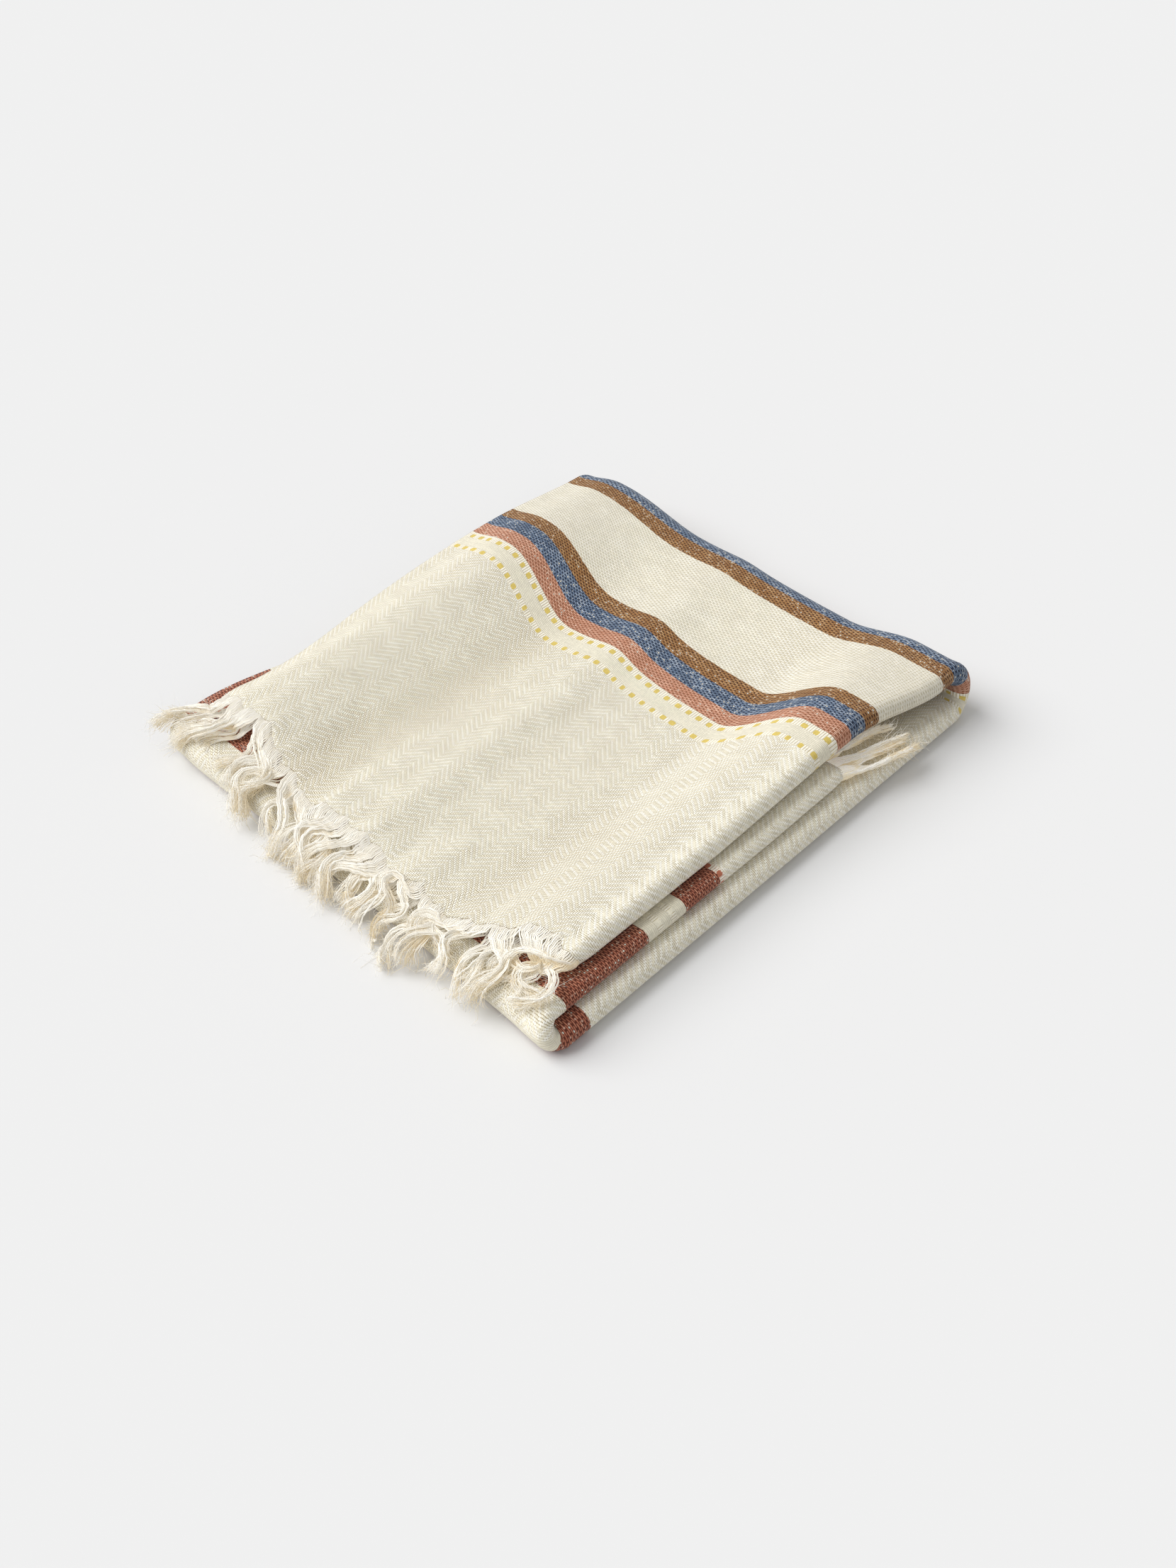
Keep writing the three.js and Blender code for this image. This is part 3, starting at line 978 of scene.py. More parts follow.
        # The painted highlight is brightest along the middle of a weft yarn and differs at random from
        # float to float.
        return BandWeave(relief, floats, tone * tone * over_pick * 0.9, crossing, fleck, slack, over_pick)

    def _twill(self, end: Value, pick: Value) -> tuple[Value, Value]:
        """Where the warp lies on top in the ground, and the ground's relief."""
        end_number = end.floor()
        pick_number = pick.floor()
        over_end = (end - end_number).arch()
        over_pick = (pick - pick_number).arch()
        repeat = 2 * self.twill
        turned = (end % (2 * self.arm)) > self.arm
        way = turned * -2 + 1
        warp_place = (pick + way * end_number) % repeat
        weft_place = (end * way + pick_number + turned) % repeat - self.twill
        warp_up = warp_place < self.twill
        warp = over_end * ((warp_place / self.twill).arch().most(0) * 0.7 + 0.3)
        weft = over_pick * ((weft_place / self.twill).arch().most(0) * 0.7 + 0.3)
        return warp_up, warp_up.mixed(weft, warp)

    def _dashes(self, shader: Shader, across: Value, along: Value) -> Value:
        """1 in the dashes: round-cornered squares of uneven width, a little out of line."""
        cell = across / self.dash_pitch
        number = cell.floor()
        line = ((along + DASH_LINE_START) / DASH_LINE_LENGTH).floor()
        aside = (shader.scatter(number, line) - 0.5) * self.dash_aside
        local = (cell - number - 0.5) * self.dash_pitch + aside
        half = shader.scatter(line, number) * self.dash_more + self.dash_half
        wide = (local / half) ** 4
        off = along - BAR_ROWS[0].dash
        off = off * off
        for row in BAR_ROWS[1:]:
            next_off = along - row.dash
            off = off.least(next_off * next_off)
        high = (off / self.dash_height ** 2) ** 2
        return (wide + high) < 1


@dataclass(frozen=True)
class LooseCotton:
    """The fringes' finish: soft off-white yarn, which is warmer where it lies deep in the pile.

    Attributes:
        light: its painted lit colour, in the open.
        dark: its painted shade colour, warmer, deep in the pile away from the light.
        twist_pitch: the length of one turn of its twist.
        twist_tones: how light the twist's hollows and ridges are, a painted shade in the hollows.
        relief: how deep the twist is, in metres.
        painted_glow: how much it glows, painted light that stands in for the light coming through its
            fibres.
    """

    # Painted light: a lit and a shaded copy of the yarn's colour.
    light: Colour = linear(255, 252, 244)
    dark: Colour = linear(250, 236, 206)
    twist_pitch: float = 0.9
    twist_tones: tuple[float, float] = (0.95, 1.01)
    relief: float = 0.00006
    painted_glow: float = 0.14

    def dress(self) -> bpy.types.Material:
        """Builds the material. The twist is a sine of the way along less the way round."""
        shader = Shader("loose_cotton")
        around, along = shader.map_place()
        # The tone is painted shade against the light, times the yarn's own uneven tone.
        tone = shader.attribute(TONE_AND_SHADE_NAME)
        twist = ((along / self.twist_pitch - around) * (2 * math.pi)).sine() * 0.5 + 0.5
        colour = shader.mix(tone, self.dark, self.light)
        # Painted shade in the twist's hollows.
        colour = shader.tinted(colour, twist.mixed(*self.twist_tones))
        # The fringe glows with painted light.
        shader.finish(colour, 0.95, twist, self.relief, 0.25, self.painted_glow)
        return shader.material


def make_piece(name: str, points: Array, faces: list, uv: Array, material: bpy.types.Material,
               tones: Array | None = None) -> bpy.types.Object:
    """Makes a smooth mesh object with a map of the cloth or yarn on it.

    Args:
        name: the piece's name.
        points: its points in metres, in the row's frame.
        faces: its faces, as lists of point numbers.
        uv: two coordinates in metres for each point.
        material: its finish.
        tones: a number for each point, if the finish reads one; it carries painted shade.

    Returns:
        The object, at the origin.
    """
    mesh = bpy.data.meshes.new(name)
    mesh.from_pydata(points.tolist(), [], faces)
    corners = np.empty(len(mesh.loops), np.int32)
    mesh.loops.foreach_get("vertex_index", corners)
    layer = mesh.uv_layers.new(name=UV_NAME)
    layer.uv.foreach_set("vector", uv[corners].astype(np.float32).ravel())
    if tones is not None:
        tone = mesh.attributes.new(TONE_AND_SHADE_NAME, "FLOAT", "POINT")
        tone.data.foreach_set("value", tones.astype(np.float32))
    mesh.polygons.foreach_set("use_smooth", np.ones(len(mesh.polygons), bool))
    mesh.materials.append(material)
    mesh.update()
    piece = bpy.data.objects.new(name, mesh)
    bpy.context.scene.collection.objects.link(piece)
    LOG.info("%s: %d faces", name, len(mesh.polygons))
    return piece


@dataclass
class ClothSheet:
    """The cloth: one sheet on its folds, with its thickness and closed edges.

    Attributes:
        folding: how it lies.
        outer_columns: how many columns of faces the outer layer gets.
        loop_columns: the same for the loop.
        inner_columns: the same for the inner layer.
        thin_end: how much of its thickness the sheet keeps at its two ends.
        thins_over: how far from an end it starts to thin.
    """

    folding: Folding
    outer_columns: int = 86
    loop_columns: int = 14
    inner_columns: int = 46
    thin_end: float = 0.3
    thins_over: float = 7.0
    middle: Array = field(init=False)
    along: Array = field(init=False)
    place: Place = field(init=False)

    def __post_init__(self) -> None:
        """Works out the middle of the sheet on a grid of rows along and columns across."""
        outer = np.linspace(0, Place.OUTER, self.outer_columns + 1)
        loop = np.linspace(Place.OUTER, Place.OUTER + Place.LOOP, self.loop_columns + 1)[1:]
        inner = np.linspace(Place.OUTER + Place.LOOP, Place.width(), self.inner_columns + 1)[1:]
        self.place = Place.at(np.concatenate([outer, loop, inner])[None, :])
        blocks = []
        along = []
        for stretch in Stretch:
            leg = stretch.value
            share = np.linspace(0, 1, leg.rows + 1)[0 if not blocks else 1:, None]
            blocks.append(self.folding.points(stretch, share, self.place))
            along.append(stretch.start() + leg.length * share[:, 0])
        self.middle = np.concatenate(blocks)
        self.along = np.concatenate(along)

    def faces_of_sheet(self) -> tuple[Array, Array]:
        """The two faces of the sheet: its middle, moved half the thickness along the normal,
        which is the cross product of the grid's two directions."""
        rows = np.gradient(self.middle, axis=0)
        columns = np.gradient(self.middle, axis=1)
        normal = np.cross(columns, rows)
        normal /= np.linalg.norm(normal, axis=-1, keepdims=True)
        to_end = np.minimum(self.along, self.along[-1] - self.along)
        share = lerp(self.thin_end, 1.0, ease(to_end, 0, self.thins_over))
        half = self.folding.sheet / 2 * share[:, None, None]
        return self.middle + normal * half, self.middle - normal * half

    def build(self, row_frame: RowFrame, finish: WovenCotton) -> bpy.types.Object:
        """Makes the sheet.

        Args:
            row_frame: where it goes.
            finish: its finish.

        Returns:
            The sheet's object.
        """
        rows, columns = self.middle.shape[:2]
        points = np.stack(self.faces_of_sheet()).reshape(-1, 3)
        points[:, 2] = np.maximum(points[:, 2], 0)
        numbers = np.arange(2 * rows * columns).reshape(2, rows, columns)
        front, back = numbers
        quads = [self._quads(front), self._quads(back)[:, ::-1]]
        for first, second in ((front[:, 0], back[:, 0]), (back[:, -1], front[:, -1]),
                              (back[0], front[0]), (front[-1], back[-1])):
            quads.append(np.stack([first[:-1], first[1:], second[1:], second[:-1]], axis=-1))
        faces = np.concatenate(quads)
        reach = np.broadcast_to(self.place.reach, (rows, columns))
        along = np.broadcast_to(self.along[:, None], (rows, columns))
        uv = np.stack([reach, along], axis=-1).reshape(-1, 2) * MM
        uv = np.concatenate([uv, uv])
        # The troughs' depth, which the finish turns into painted shade in the pits.
        hollows = np.tile(self.hollows().ravel(), 2)
        return make_piece("cloth_sheet", row_frame.metres(points), faces.tolist(), uv,
                          finish.dress(), hollows)

    def hollows(self) -> Array:
        """How deep the troughs are in the top pair's outer layer, in millimetres, and 0 elsewhere."""
        trough = np.maximum(0, -self.folding.relief(self.middle[..., 0], self.middle[..., 1]))
        on_top = (self.along[:, None] < Stretch.BACK_FOLD.start()) & (self.place.lift > 0)
        return np.where(on_top, trough, 0.0)

    @staticmethod
    def _quads(numbers: Array) -> Array:
        """The faces of a grid of point numbers."""
        corners = (numbers[:-1, :-1], numbers[:-1, 1:], numbers[1:, 1:], numbers[1:, :-1])
        return np.stack(corners, axis=-1).reshape(-1, 4)


def carried(tangent: Array, start: Array) -> Array:
    """Carries a sideways direction along lines, turning it as little as it can.

    Each step takes the direction of the step before, less its part along the line.

    Args:
        tangent: the lines' directions, line by step by coordinate.
        start: the direction at each line's first step.

    Returns:
        The sideways directions, of length 1.
    """
    sideways = np.empty_like(tangent)
    current = start
    for step in range(tangent.shape[1]):
        current = current - (current * tangent[:, step]).sum(-1, keepdims=True) * tangent[:, step]
        current = current / np.maximum(np.linalg.norm(current, axis=-1, keepdims=True), 1e-9)
        sideways[:, step] = current
    return sideways


def directions(lines: Array) -> Array:
    """The directions of lines at each of their steps, of length 1."""
    tangent = np.gradient(lines, axis=1)
    return tangent / np.maximum(np.linalg.norm(tangent, axis=-1, keepdims=True), 1e-9)


class YarnMesh:
    """Collects yarns as closed tubes and makes them one mesh.

    Attributes:
        cell: the size of the cells in which the depth of the pile is measured.
        deep: how deep the pile is where a yarn's painted shade is darkest.
        dullest: how light the dullest yarn is, against the lightest.
        sides: how many sides a tube has.
    """

    cell = 1.6
    deep = 6.0
    dullest = 0.8
    sides = 3

    def __init__(self) -> None:
        """Starts with no yarn."""
        self.points: list[Array] = []
        self.faces: list[list[int]] = []
        self.uv: list[Array] = []
        self.tones: list[Array] = []
        self.count = 0

    def add(self, paths: Array, radii: Array, tones: Array) -> None:
        """Adds tubes along paths; each ring is a circle in the plane across the path.

        Args:
            paths: the yarns' points, yarn by step by coordinate.
            radii: the radius at each step.
            tones: how light each yarn is.
        """
        sides = self.sides
        yarns, steps = paths.shape[:2]
        tangent = directions(paths)
        sideways = carried(tangent, np.cross(tangent[:, 0], ASKEW))
        upward = np.cross(sideways, tangent)
        angles = 2 * np.pi * np.arange(sides) / sides
        ring = sideways[:, :, None] * np.cos(angles)[:, None]
        ring = ring + upward[:, :, None] * np.sin(angles)[:, None]
        radii = np.broadcast_to(radii, (yarns, steps))
        points = paths[:, :, None] + ring * radii[:, :, None, None]
        numbers = self.count + np.arange(yarns * steps * sides).reshape(yarns, steps, sides)
        after = np.roll(numbers, -1, axis=2)
        corners = (numbers[:, :-1], after[:, :-1], after[:, 1:], numbers[:, 1:])
        quads = np.stack(corners, axis=-1).reshape(-1, 4)
        caps = np.concatenate([numbers[:, 0, ::-1], numbers[:, -1]])
        self.faces += quads.tolist() + caps.tolist()
        lengths = np.linalg.norm(np.diff(paths, axis=1, prepend=paths[:, :1]), axis=-1)
        along = np.cumsum(lengths, axis=1)
        around = np.broadcast_to(np.arange(sides) / sides, (yarns, steps, sides))
        uv = np.stack([around, np.broadcast_to(along[:, :, None], around.shape)], axis=-1)
        self.points.append(points.reshape(-1, 3))
        self.uv.append(uv.reshape(-1, 2) * MM)
        self.tones.append(np.broadcast_to(tones[:, None, None], around.shape).ravel())
        self.count += yarns * steps * sides

    def exposures(self, points: Array) -> Array:
        """How openly each point lies: 1 on the pile's lit side, less the deeper it is.

        The depth is measured against the light, from the outermost point in the same small cell
        of a grid across the light's way.
        """
        away = np.array(Studio.sun_from) / np.linalg.norm(Studio.sun_from)
        first = np.cross(away, UP)
        first /= np.linalg.norm(first)
        second = np.cross(away, first)
        cells = np.stack([points @ first, points @ second], axis=-1) / self.cell
        cells = np.floor(cells - cells.min(0)).astype(int)
        numbers = cells[:, 0] * (cells[:, 1].max() + 1) + cells[:, 1]
        height = points @ away
        outermost = np.full(numbers.max() + 1, -np.inf)
        np.maximum.at(outermost, numbers, height)
        return 1 - ease(outermost[numbers] - height, 0.0, self.deep)

    def build(self, name: str, row_frame: RowFrame, material: bpy.types.Material) -> bpy.types.Object:
        """Makes the piece from all the yarns."""
        points = np.concatenate(self.points)
        # Painted shade: how openly a point lies to the light, times its yarn's own uneven tone.
        tones = self.exposures(points) * lerp(self.dullest, 1.0, np.concatenate(self.tones))
        return make_piece(name, row_frame.metres(points), self.faces, np.concatenate(self.uv),
                          material, tones)


@dataclass(frozen=True)
class YarnSizes:
    """The sizes of the fringes' yarns.

    Attributes:
        ply: the radius of one ply of a yarn.
        tip: a ply's radius at its end, as a share.
        hair: the radius of a loose fibre.
        gathered: how wide a bunch is, against the width of its roots.
        thick: half the thickness of a bunch.
        wave: how far the yarns wave to each side, all in step.
        wave_length: how long a wave is.
        stray: how far a yarn strays from its place towards its end.
        part: how far apart the plies are at the end.
    """

    ply: float = 0.2
    tip: float = 0.55
    hair: float = 0.06
    gathered: float = 0.42
    thick: float = 1.1
    wave: float = 0.3
    wave_length: float = 4.6
    stray: float = 1.3
    part: float = 1.0


@dataclass
class LockGroup:
    """Bunches of yarn along one layer of the cloth's end.

    Attributes:
        first: how much cloth lies between the outer edge and the first yarn.
        last: the same for the last yarn.
        pitch: the distance from one yarn to the next.
        least: the fewest yarns in a bunch.
        most: the most yarns in a bunch.
        length: the yarns' length.
        steps: how many steps a yarn has.
        plies: how many plies a yarn has.
        seed: what the uneven numbers start from.
    """

    first: float
    last: float
    pitch: float
    least: int
    most: int
    length: float
    steps: int
    plies: int
    seed: int
    rng: np.random.Generator = field(init=False)
    reach: Array = field(init=False)
    lock: Array = field(init=False)
    locks: int = field(init=False)

    def __post_init__(self) -> None:
        """Shares the yarns out among the bunches."""
        self.rng = np.random.default_rng(self.seed)
        self.reach = np.arange(self.first, self.last, self.pitch)
        sizes = self.rng.integers(self.least, self.most + 1, len(self.reach))
        numbers = np.repeat(np.arange(len(sizes)), sizes)
        self.lock = numbers[: len(self.reach)]
        self.locks = int(self.lock[-1]) + 1

    def uneven(self, low: float, high: float) -> Array:
        """A number for each bunch between two limits."""
        return self.rng.uniform(low, high, self.locks)

    def centres(self, values: Array) -> Array:
        """The mean over the yarns of each bunch."""
        totals = np.zeros((self.locks, *values.shape[1:]))
        np.add.at(totals, self.lock, values)
        counts = np.bincount(self.lock, minlength=self.locks)
        return totals / counts.reshape(-1, *([1] * (values.ndim - 1)))

    def shares(self) -> Array:
        """The share of its length at each step of a yarn."""
        return np.linspace(0, 1, self.steps)


@dataclass(frozen=True)
class Fibres:
    """The loose fibres of a group of bunches.

    Attributes:
        frays: how many fibres each ply's end opens into.
        fray_length: how long the longest of them is.
        hairs: how many single fibres stand out along the plies.
        hair_length: how long the longest of those is.

    FRAY_WIDTHS and HAIR_WIDTHS are the widths at a fibre's steps, against a single fibre's, and
    HAIR_TONE is how light the single ones are.
    """

    frays: int
    fray_length: float
    hairs: int
    hair_length: float

    FRAY_WIDTHS = np.linspace(2.2, 0.8, 6)
    HAIR_WIDTHS = np.linspace(1, 0.5, 7)
    HAIR_TONE = 0.8


class Bunching:
    """Turns the lines of bunches into the lines of their yarns, plies and loose fibres.

    Attributes:
        gathers: from which share of its length to which a yarn is gathered into its bunch.
        opens: the same for where the bunch opens again.
        wider: how much wider the bunches open, at least and at most.
        twists: from which share to which a bunch twists.
        twist: how far it twists either way at most, in radians.
        flat: how much a twisted bunch keeps of its width upwards.
        phase: how much the yarns of a bunch are out of step.
        turns: how many half waves a straying yarn makes, at least and at most.
        lift: how much a yarn strays upwards, against sideways.
        frays_from: the share of a ply's length from which it frays.
    """

    gathers = (0.08, 0.48)
    opens = (0.5, 1.0)
    wider = (0.2, 1.3)
    twists = (0.25, 0.95)
    twist = 2.4
    flat = 0.7
    phase = 0.35
    turns = (0.6, 1.6)
    lift = 0.8
    frays_from = 0.62

    def __init__(self, group: LockGroup, sizes: YarnSizes) -> None:
        """Keeps the group of bunches and the sizes of its yarns."""
        self.group = group
        self.sizes = sizes

    def yarns(self, roots: Array, guides: Array) -> Array:
        """Works out the lines of the yarns.

        A yarn starts at its root and is gathered into a flat bunch, where the yarns keep their
        order. The bunch twists slowly and opens again towards its end, where a yarn also
        strays from its place. Near the roots all the yarns of a bunch wave in step.

        Args:
            roots: where the yarns start.
            guides: the lines of the bunches, bunch by step by coordinate.

        Returns:
            The yarns' points, yarn by step by coordinate.
        """
        group, sizes = self.group, self.sizes
        rng = group.rng
        line = guides[group.lock]
        tangent = directions(line)
        sideways = carried(tangent, np.cross(tangent[:, 0], UP))
        upward = np.cross(sideways, tangent)
        share = group.shares()[None, :]
        from_centre = roots - line[:, 0]
        offset = (from_centre * sideways[:, 0]).sum(-1)
        gathered = ease(share, *self.gathers)
        opened = 1 + group.uneven(*self.wider)[group.lock][:, None] * ease(share, *self.opens)
        width = offset[:, None] * sizes.gathered * opened
        thick = rng.uniform(-1, 1, len(roots))[:, None] * sizes.thick * opened
        twist = group.uneven(-self.twist, self.twist)[group.lock][:, None] * ease(share, *self.twists)
        aside = width * np.cos(twist) - thick * np.sin(twist)
        above = width * np.sin(twist) * self.flat + thick * np.cos(twist)
        phase = group.uneven(0, 2 * np.pi)[group.lock] + rng.normal(0, self.phase, len(roots))
        wave = np.sin(2 * np.pi * group.length * share / sizes.wave_length + phase[:, None])
        wave = wave * sizes.wave * ease(share, 0, 0.12) * (1 - 0.5 * ease(share, 0.3, 0.6))
        strays = rng.normal(0, sizes.stray, (2, len(roots), 1))
        turns = rng.uniform(*self.turns, (2, len(roots), 1))
        stray = strays * np.sin(np.pi * turns * share) * ease(share, 0.25, 1.0)
        aside = gathered * aside + wave + stray[0]
        above = gathered * above + stray[1] * self.lift
        start = from_centre[:, None, :] * (1 - gathered)[:, :, None]
        return line + start + sideways * aside[:, :, None] + upward * above[:, :, None]

    def plies(self, yarns: Array) -> Array:
        """The plies of the yarns, which lie side by side, turn round each other and part."""
        each = self.group.plies
        rng = self.group.rng
        share = self.group.shares()[None, :]
        tangent = directions(yarns)
        sideways = carried(tangent, np.cross(tangent[:, 0], UP))
        upward = np.cross(sideways, tangent)
        first = rng.uniform(0, 2 * np.pi, (len(yarns), 1)) + rng.uniform(2, 7, (len(yarns), 1)) * share
        parted = self.sizes.part * rng.uniform(0, 1, (len(yarns), 1)) ** 2 * ease(share, 0.35, 1.0)
        apart = self.sizes.ply * 1.15 + parted
        lines = []
        for ply in range(each):
            angle = first + 2 * np.pi * ply / each
            lines.append(yarns + sideways * (apart * np.cos(angle))[:, :, None]
                         + upward * (apart * np.sin(angle))[:, :, None])
        return np.concatenate(lines)

    def add_fibres(self, mesh: YarnMesh, plies: Array, tones: Array, fibres: Fibres,
                   settled: Callable[[Array], Array] = lambda lines: lines) -> None:
        """Adds the frayed ends and the single hairs to a mesh.

        Args:
            mesh: the mesh that they go into.
            plies: the plies' points.
            tones: how light each ply is.
            fibres: how many fibres there are, and how long.
            settled: moves lines off what they would sink into, if they lie on anything.
        """
        frays = settled(self.frays(plies, fibres))
        mesh.add(frays, self.sizes.hair * fibres.FRAY_WIDTHS, np.repeat(tones, fibres.frays))
        hairs = settled(self.hairs(plies, fibres))
        mesh.add(hairs, self.sizes.hair * fibres.HAIR_WIDTHS, np.full(len(hairs), fibres.HAIR_TONE))

    def frays(self, lines: Array, fibres: Fibres) -> Array:
        """The fibres that the ends open into: they go on from the last part of a line and bend
        away from it more and more."""
        rng = self.group.rng
        which = np.repeat(np.arange(len(lines)), fibres.frays)
        at = rng.integers(int(lines.shape[1] * self.frays_from), lines.shape[1] - 1, len(which))
        root = lines[which, at]
        way = directions(lines)[which, at]
        share = np.linspace(0, 1, len(fibres.FRAY_WIDTHS))[None, :, None]
        reach = rng.uniform(0.45, 1, (len(which), 1, 1)) * fibres.fray_length
        bend = rng.normal(0, 0.55, (len(which), 1, 3))
        curl = rng.normal(0, 0.22, (len(which), 1, 3))
        path = way[:, None] * share + bend * share ** 1.8 + curl * np.sin(share * 6) * share
        return root[:, None] + reach * path

    def hairs(self, lines: Array, fibres: Fibres) -> Array:
        """Single fibres that start somewhere on a yarn and curve away from it."""
        rng = self.group.rng
        number = fibres.hairs
        which = rng.integers(0, lines.shape[0], number)
        where = rng.integers(lines.shape[1] // 4, lines.shape[1], number)
        root = lines[which, where][:, None]
        share = np.linspace(0, 1, len(fibres.HAIR_WIDTHS))[None, :, None]
        reach = rng.uniform(0.4, 1, (number, 1, 1)) * fibres.hair_length
        first = rng.normal(0, 1, (number, 1, 3))
        second = rng.normal(0, 1, (number, 1, 3))
        first[:, :, 2] = np.abs(first[:, :, 2]) * 0.5
        first /= np.linalg.norm(first, axis=-1, keepdims=True)
        return root + reach * (first * share + second * 0.45 * share * share)


@dataclass(frozen=True)
class FrontLayer:
    """One layer of the front fringe.

    Attributes:
        name: the name of its piece.
        bunches: its bunches of yarn.
        high: how high off what lies below a bunch may lie.
        turn: how much a bunch's heading swings, in radians.
        fibres: its loose fibres.
    """

    name: str
    bunches: LockGroup
    high: float
    turn: float
    fibres: Fibres


@dataclass
class FrontFringe:
    """The loose yarns at the cloth's end in front, which lie over the front fold.

    Attributes:
        folding: how the cloth lies.
        sizes: the yarns' sizes.
        inset: how far inside the cloth's end a yarn starts.
        lengths: how long the shortest and the longest bunch are, against their layer's length.
        swings: how much of its layer's swing a bunch has, at least and at most.
        cycles: how many times a bunch swings to and fro, at least and at most.
        lean: how far a bunch leans to either side, in radians.
        arch: how high the highest bunch arches.
        droop: how fast a bunch that hangs free bends down, in radians a millimetre.
        start_down: how steeply it starts, in radians.
        steepest: how steeply it may hang, in radians.
        left_lean: how far the bunches at the left end lean out, in radians.
        left_width: how far in from there they still lean.
        left_calm: how much less they swing there.
        settled_by: the share of its length after which a ply lies on what is below.
    """

    folding: Folding
    sizes: YarnSizes = YarnSizes()
    inset: float = 1.5
    lengths: tuple[float, float] = (0.84, 1.1)
    swings: tuple[float, float] = (0.45, 1.0)
    cycles: tuple[float, float] = (0.6, 1.4)
    lean: float = 0.3
    arch: float = 2.6
    droop: float = 0.055
    start_down: float = 0.05
    steepest: float = 1.4
    left_lean: float = -0.75
    left_width: float = 26.0
    left_calm: float = 0.75
    settled_by: float = 0.12

    def layers(self) -> tuple[FrontLayer, ...]:
        """The outer layer's bunches, and the inner layer's under them."""
        edge = Place.OUTER + Place.LOOP
        outer = LockGroup(first=1.0, last=edge - 1, pitch=0.88, least=8, most=15,
                          length=44.0, steps=30, plies=3, seed=5)
        inner = LockGroup(first=edge + 1, last=Place.width() - 1, pitch=1.15, least=6, most=12,
                          length=38.0, steps=18, plies=3, seed=11)
        outer_fibres = Fibres(frays=3, fray_length=6.5, hairs=1500, hair_length=6.0)
        inner_fibres = Fibres(frays=1, fray_length=6.5, hairs=500, hair_length=6.0)
        return (FrontLayer("front_fringe_yarns", outer, 5.5, 1.7, outer_fibres),
                FrontLayer("front_fringe_under", inner, 2.5, 1.1, inner_fibres))

    def roots(self, group: LockGroup) -> Array:
        """Where the yarns start, a little inside the cloth's end."""
        share = np.float64(self.inset / Stretch.TOP.value.length)
        return self.folding.points(Stretch.TOP, share, Place.at(group.reach))

    def guides(self, layer: FrontLayer, roots: Array) -> Array:
        """Works out the lines of the bunches, step by step.

        Each step goes on in the bunch's heading and bends down. Where that would sink into what
        lies below, it is lifted onto it and made as long as the other steps again.

        Args:
            layer: the layer of the fringe.
            roots: where the yarns start.

        Returns:
            The lines, bunch by step by coordinate.
        """
        group = layer.bunches
        point = group.centres(roots)
        step_length = group.length * group.uneven(*self.lengths) / (group.steps - 1)
        side = np.where(group.uneven(-1, 1) > 0, 1.0, -1.0)
        at_left = bell(point[:, 0] - point[:, 0].min(), self.left_width)
        swing = side * group.uneven(*self.swings) * layer.turn * (1 - self.left_calm * at_left)
        lean = group.uneven(-self.lean, self.lean) + self.left_lean * at_left
        cycles = group.uneven(*self.cycles)
        level = group.uneven(0.1, 1) * layer.high
        arch = group.uneven(0, 1) ** 2 * self.arch
        descent = np.full(group.locks, self.start_down)
        line = [point]
        for step in range(1, group.steps):
            share = np.float64(step / (group.steps - 1))
            swung = np.sin(2 * np.pi * cycles * np.maximum(share - 0.12, 0))
            heading = lean * ease(share, 0, 0.3) + swing * swung
            flat = np.cos(descent)
            way = np.stack([np.sin(heading) * flat, -np.cos(heading) * flat, -np.sin(descent)], axis=-1)
            wanted = point + way * step_length[:, None]
            low = level * (1 - 0.7 * ease(share, 0.4, 1.0)) + self.sizes.thick
            height = low * ease(share, 0, 0.2) + arch * np.sin(np.pi * share) ** 2
            ground = self.folding.front_support(wanted[:, 0], wanted[:, 1], height)
            lifted = wanted.copy()
            lifted[:, 2] = np.maximum(wanted[:, 2], ground)
            moved = lifted - point
            moved *= (step_length / np.linalg.norm(moved, axis=-1))[:, None]
            touches = lifted[:, 2] > wanted[:, 2] + 1e-6
            slope = np.arcsin(np.clip(-moved[:, 2] / step_length, -0.6, 1))
            bent = np.minimum(descent + self.droop * step_length, self.steepest)
            descent = np.where(touches, slope, bent)
            point = point + moved
            line.append(point)
        return np.stack(line, axis=1)

    def build(self, row_frame: RowFrame, material: bpy.types.Material) -> tuple[bpy.types.Object, ...]:
        """Makes the yarns' plies, a piece for each layer, and as a third piece the fibres that
        their ends open into."""
        fibre_mesh = YarnMesh()
        pieces = []
        for layer in self.layers():
            group = layer.bunches
            roots = self.roots(group)
            bunching = Bunching(group, self.sizes)
            yarns = bunching.yarns(roots, self.guides(layer, roots))
            plies = self.on_support(bunching.plies(yarns), self.settled_by)
            tones = np.tile(group.rng.uniform(0, 1, len(yarns)), group.plies)
            taper = lerp(1.0, self.sizes.tip, ease(group.shares(), 0.5, 1.0))
            yarn_mesh = YarnMesh()
            yarn_mesh.add(plies, self.sizes.ply * taper, tones)
            pieces.append(yarn_mesh.build(layer.name, row_frame, material))
            bunching.add_fibres(fibre_mesh, plies, tones, layer.fibres, self.on_support)
        return *pieces, fibre_mesh.build("front_fringe_fibres", row_frame, material)

    def on_support(self, lines: Array, after: float = 0.0) -> Array:
        """Lifts what has sunk into the cloth or the floor, after a share of its length."""
        ground = self.folding.front_support(lines[..., 0], lines[..., 1], self.sizes.ply)
        started = ease(np.linspace(0, 1, lines.shape[1]), 0.0, after) if after else 1.0
        lines[..., 2] = np.maximum(lines[..., 2], lerp(lines[..., 2], ground, started))
        return lines


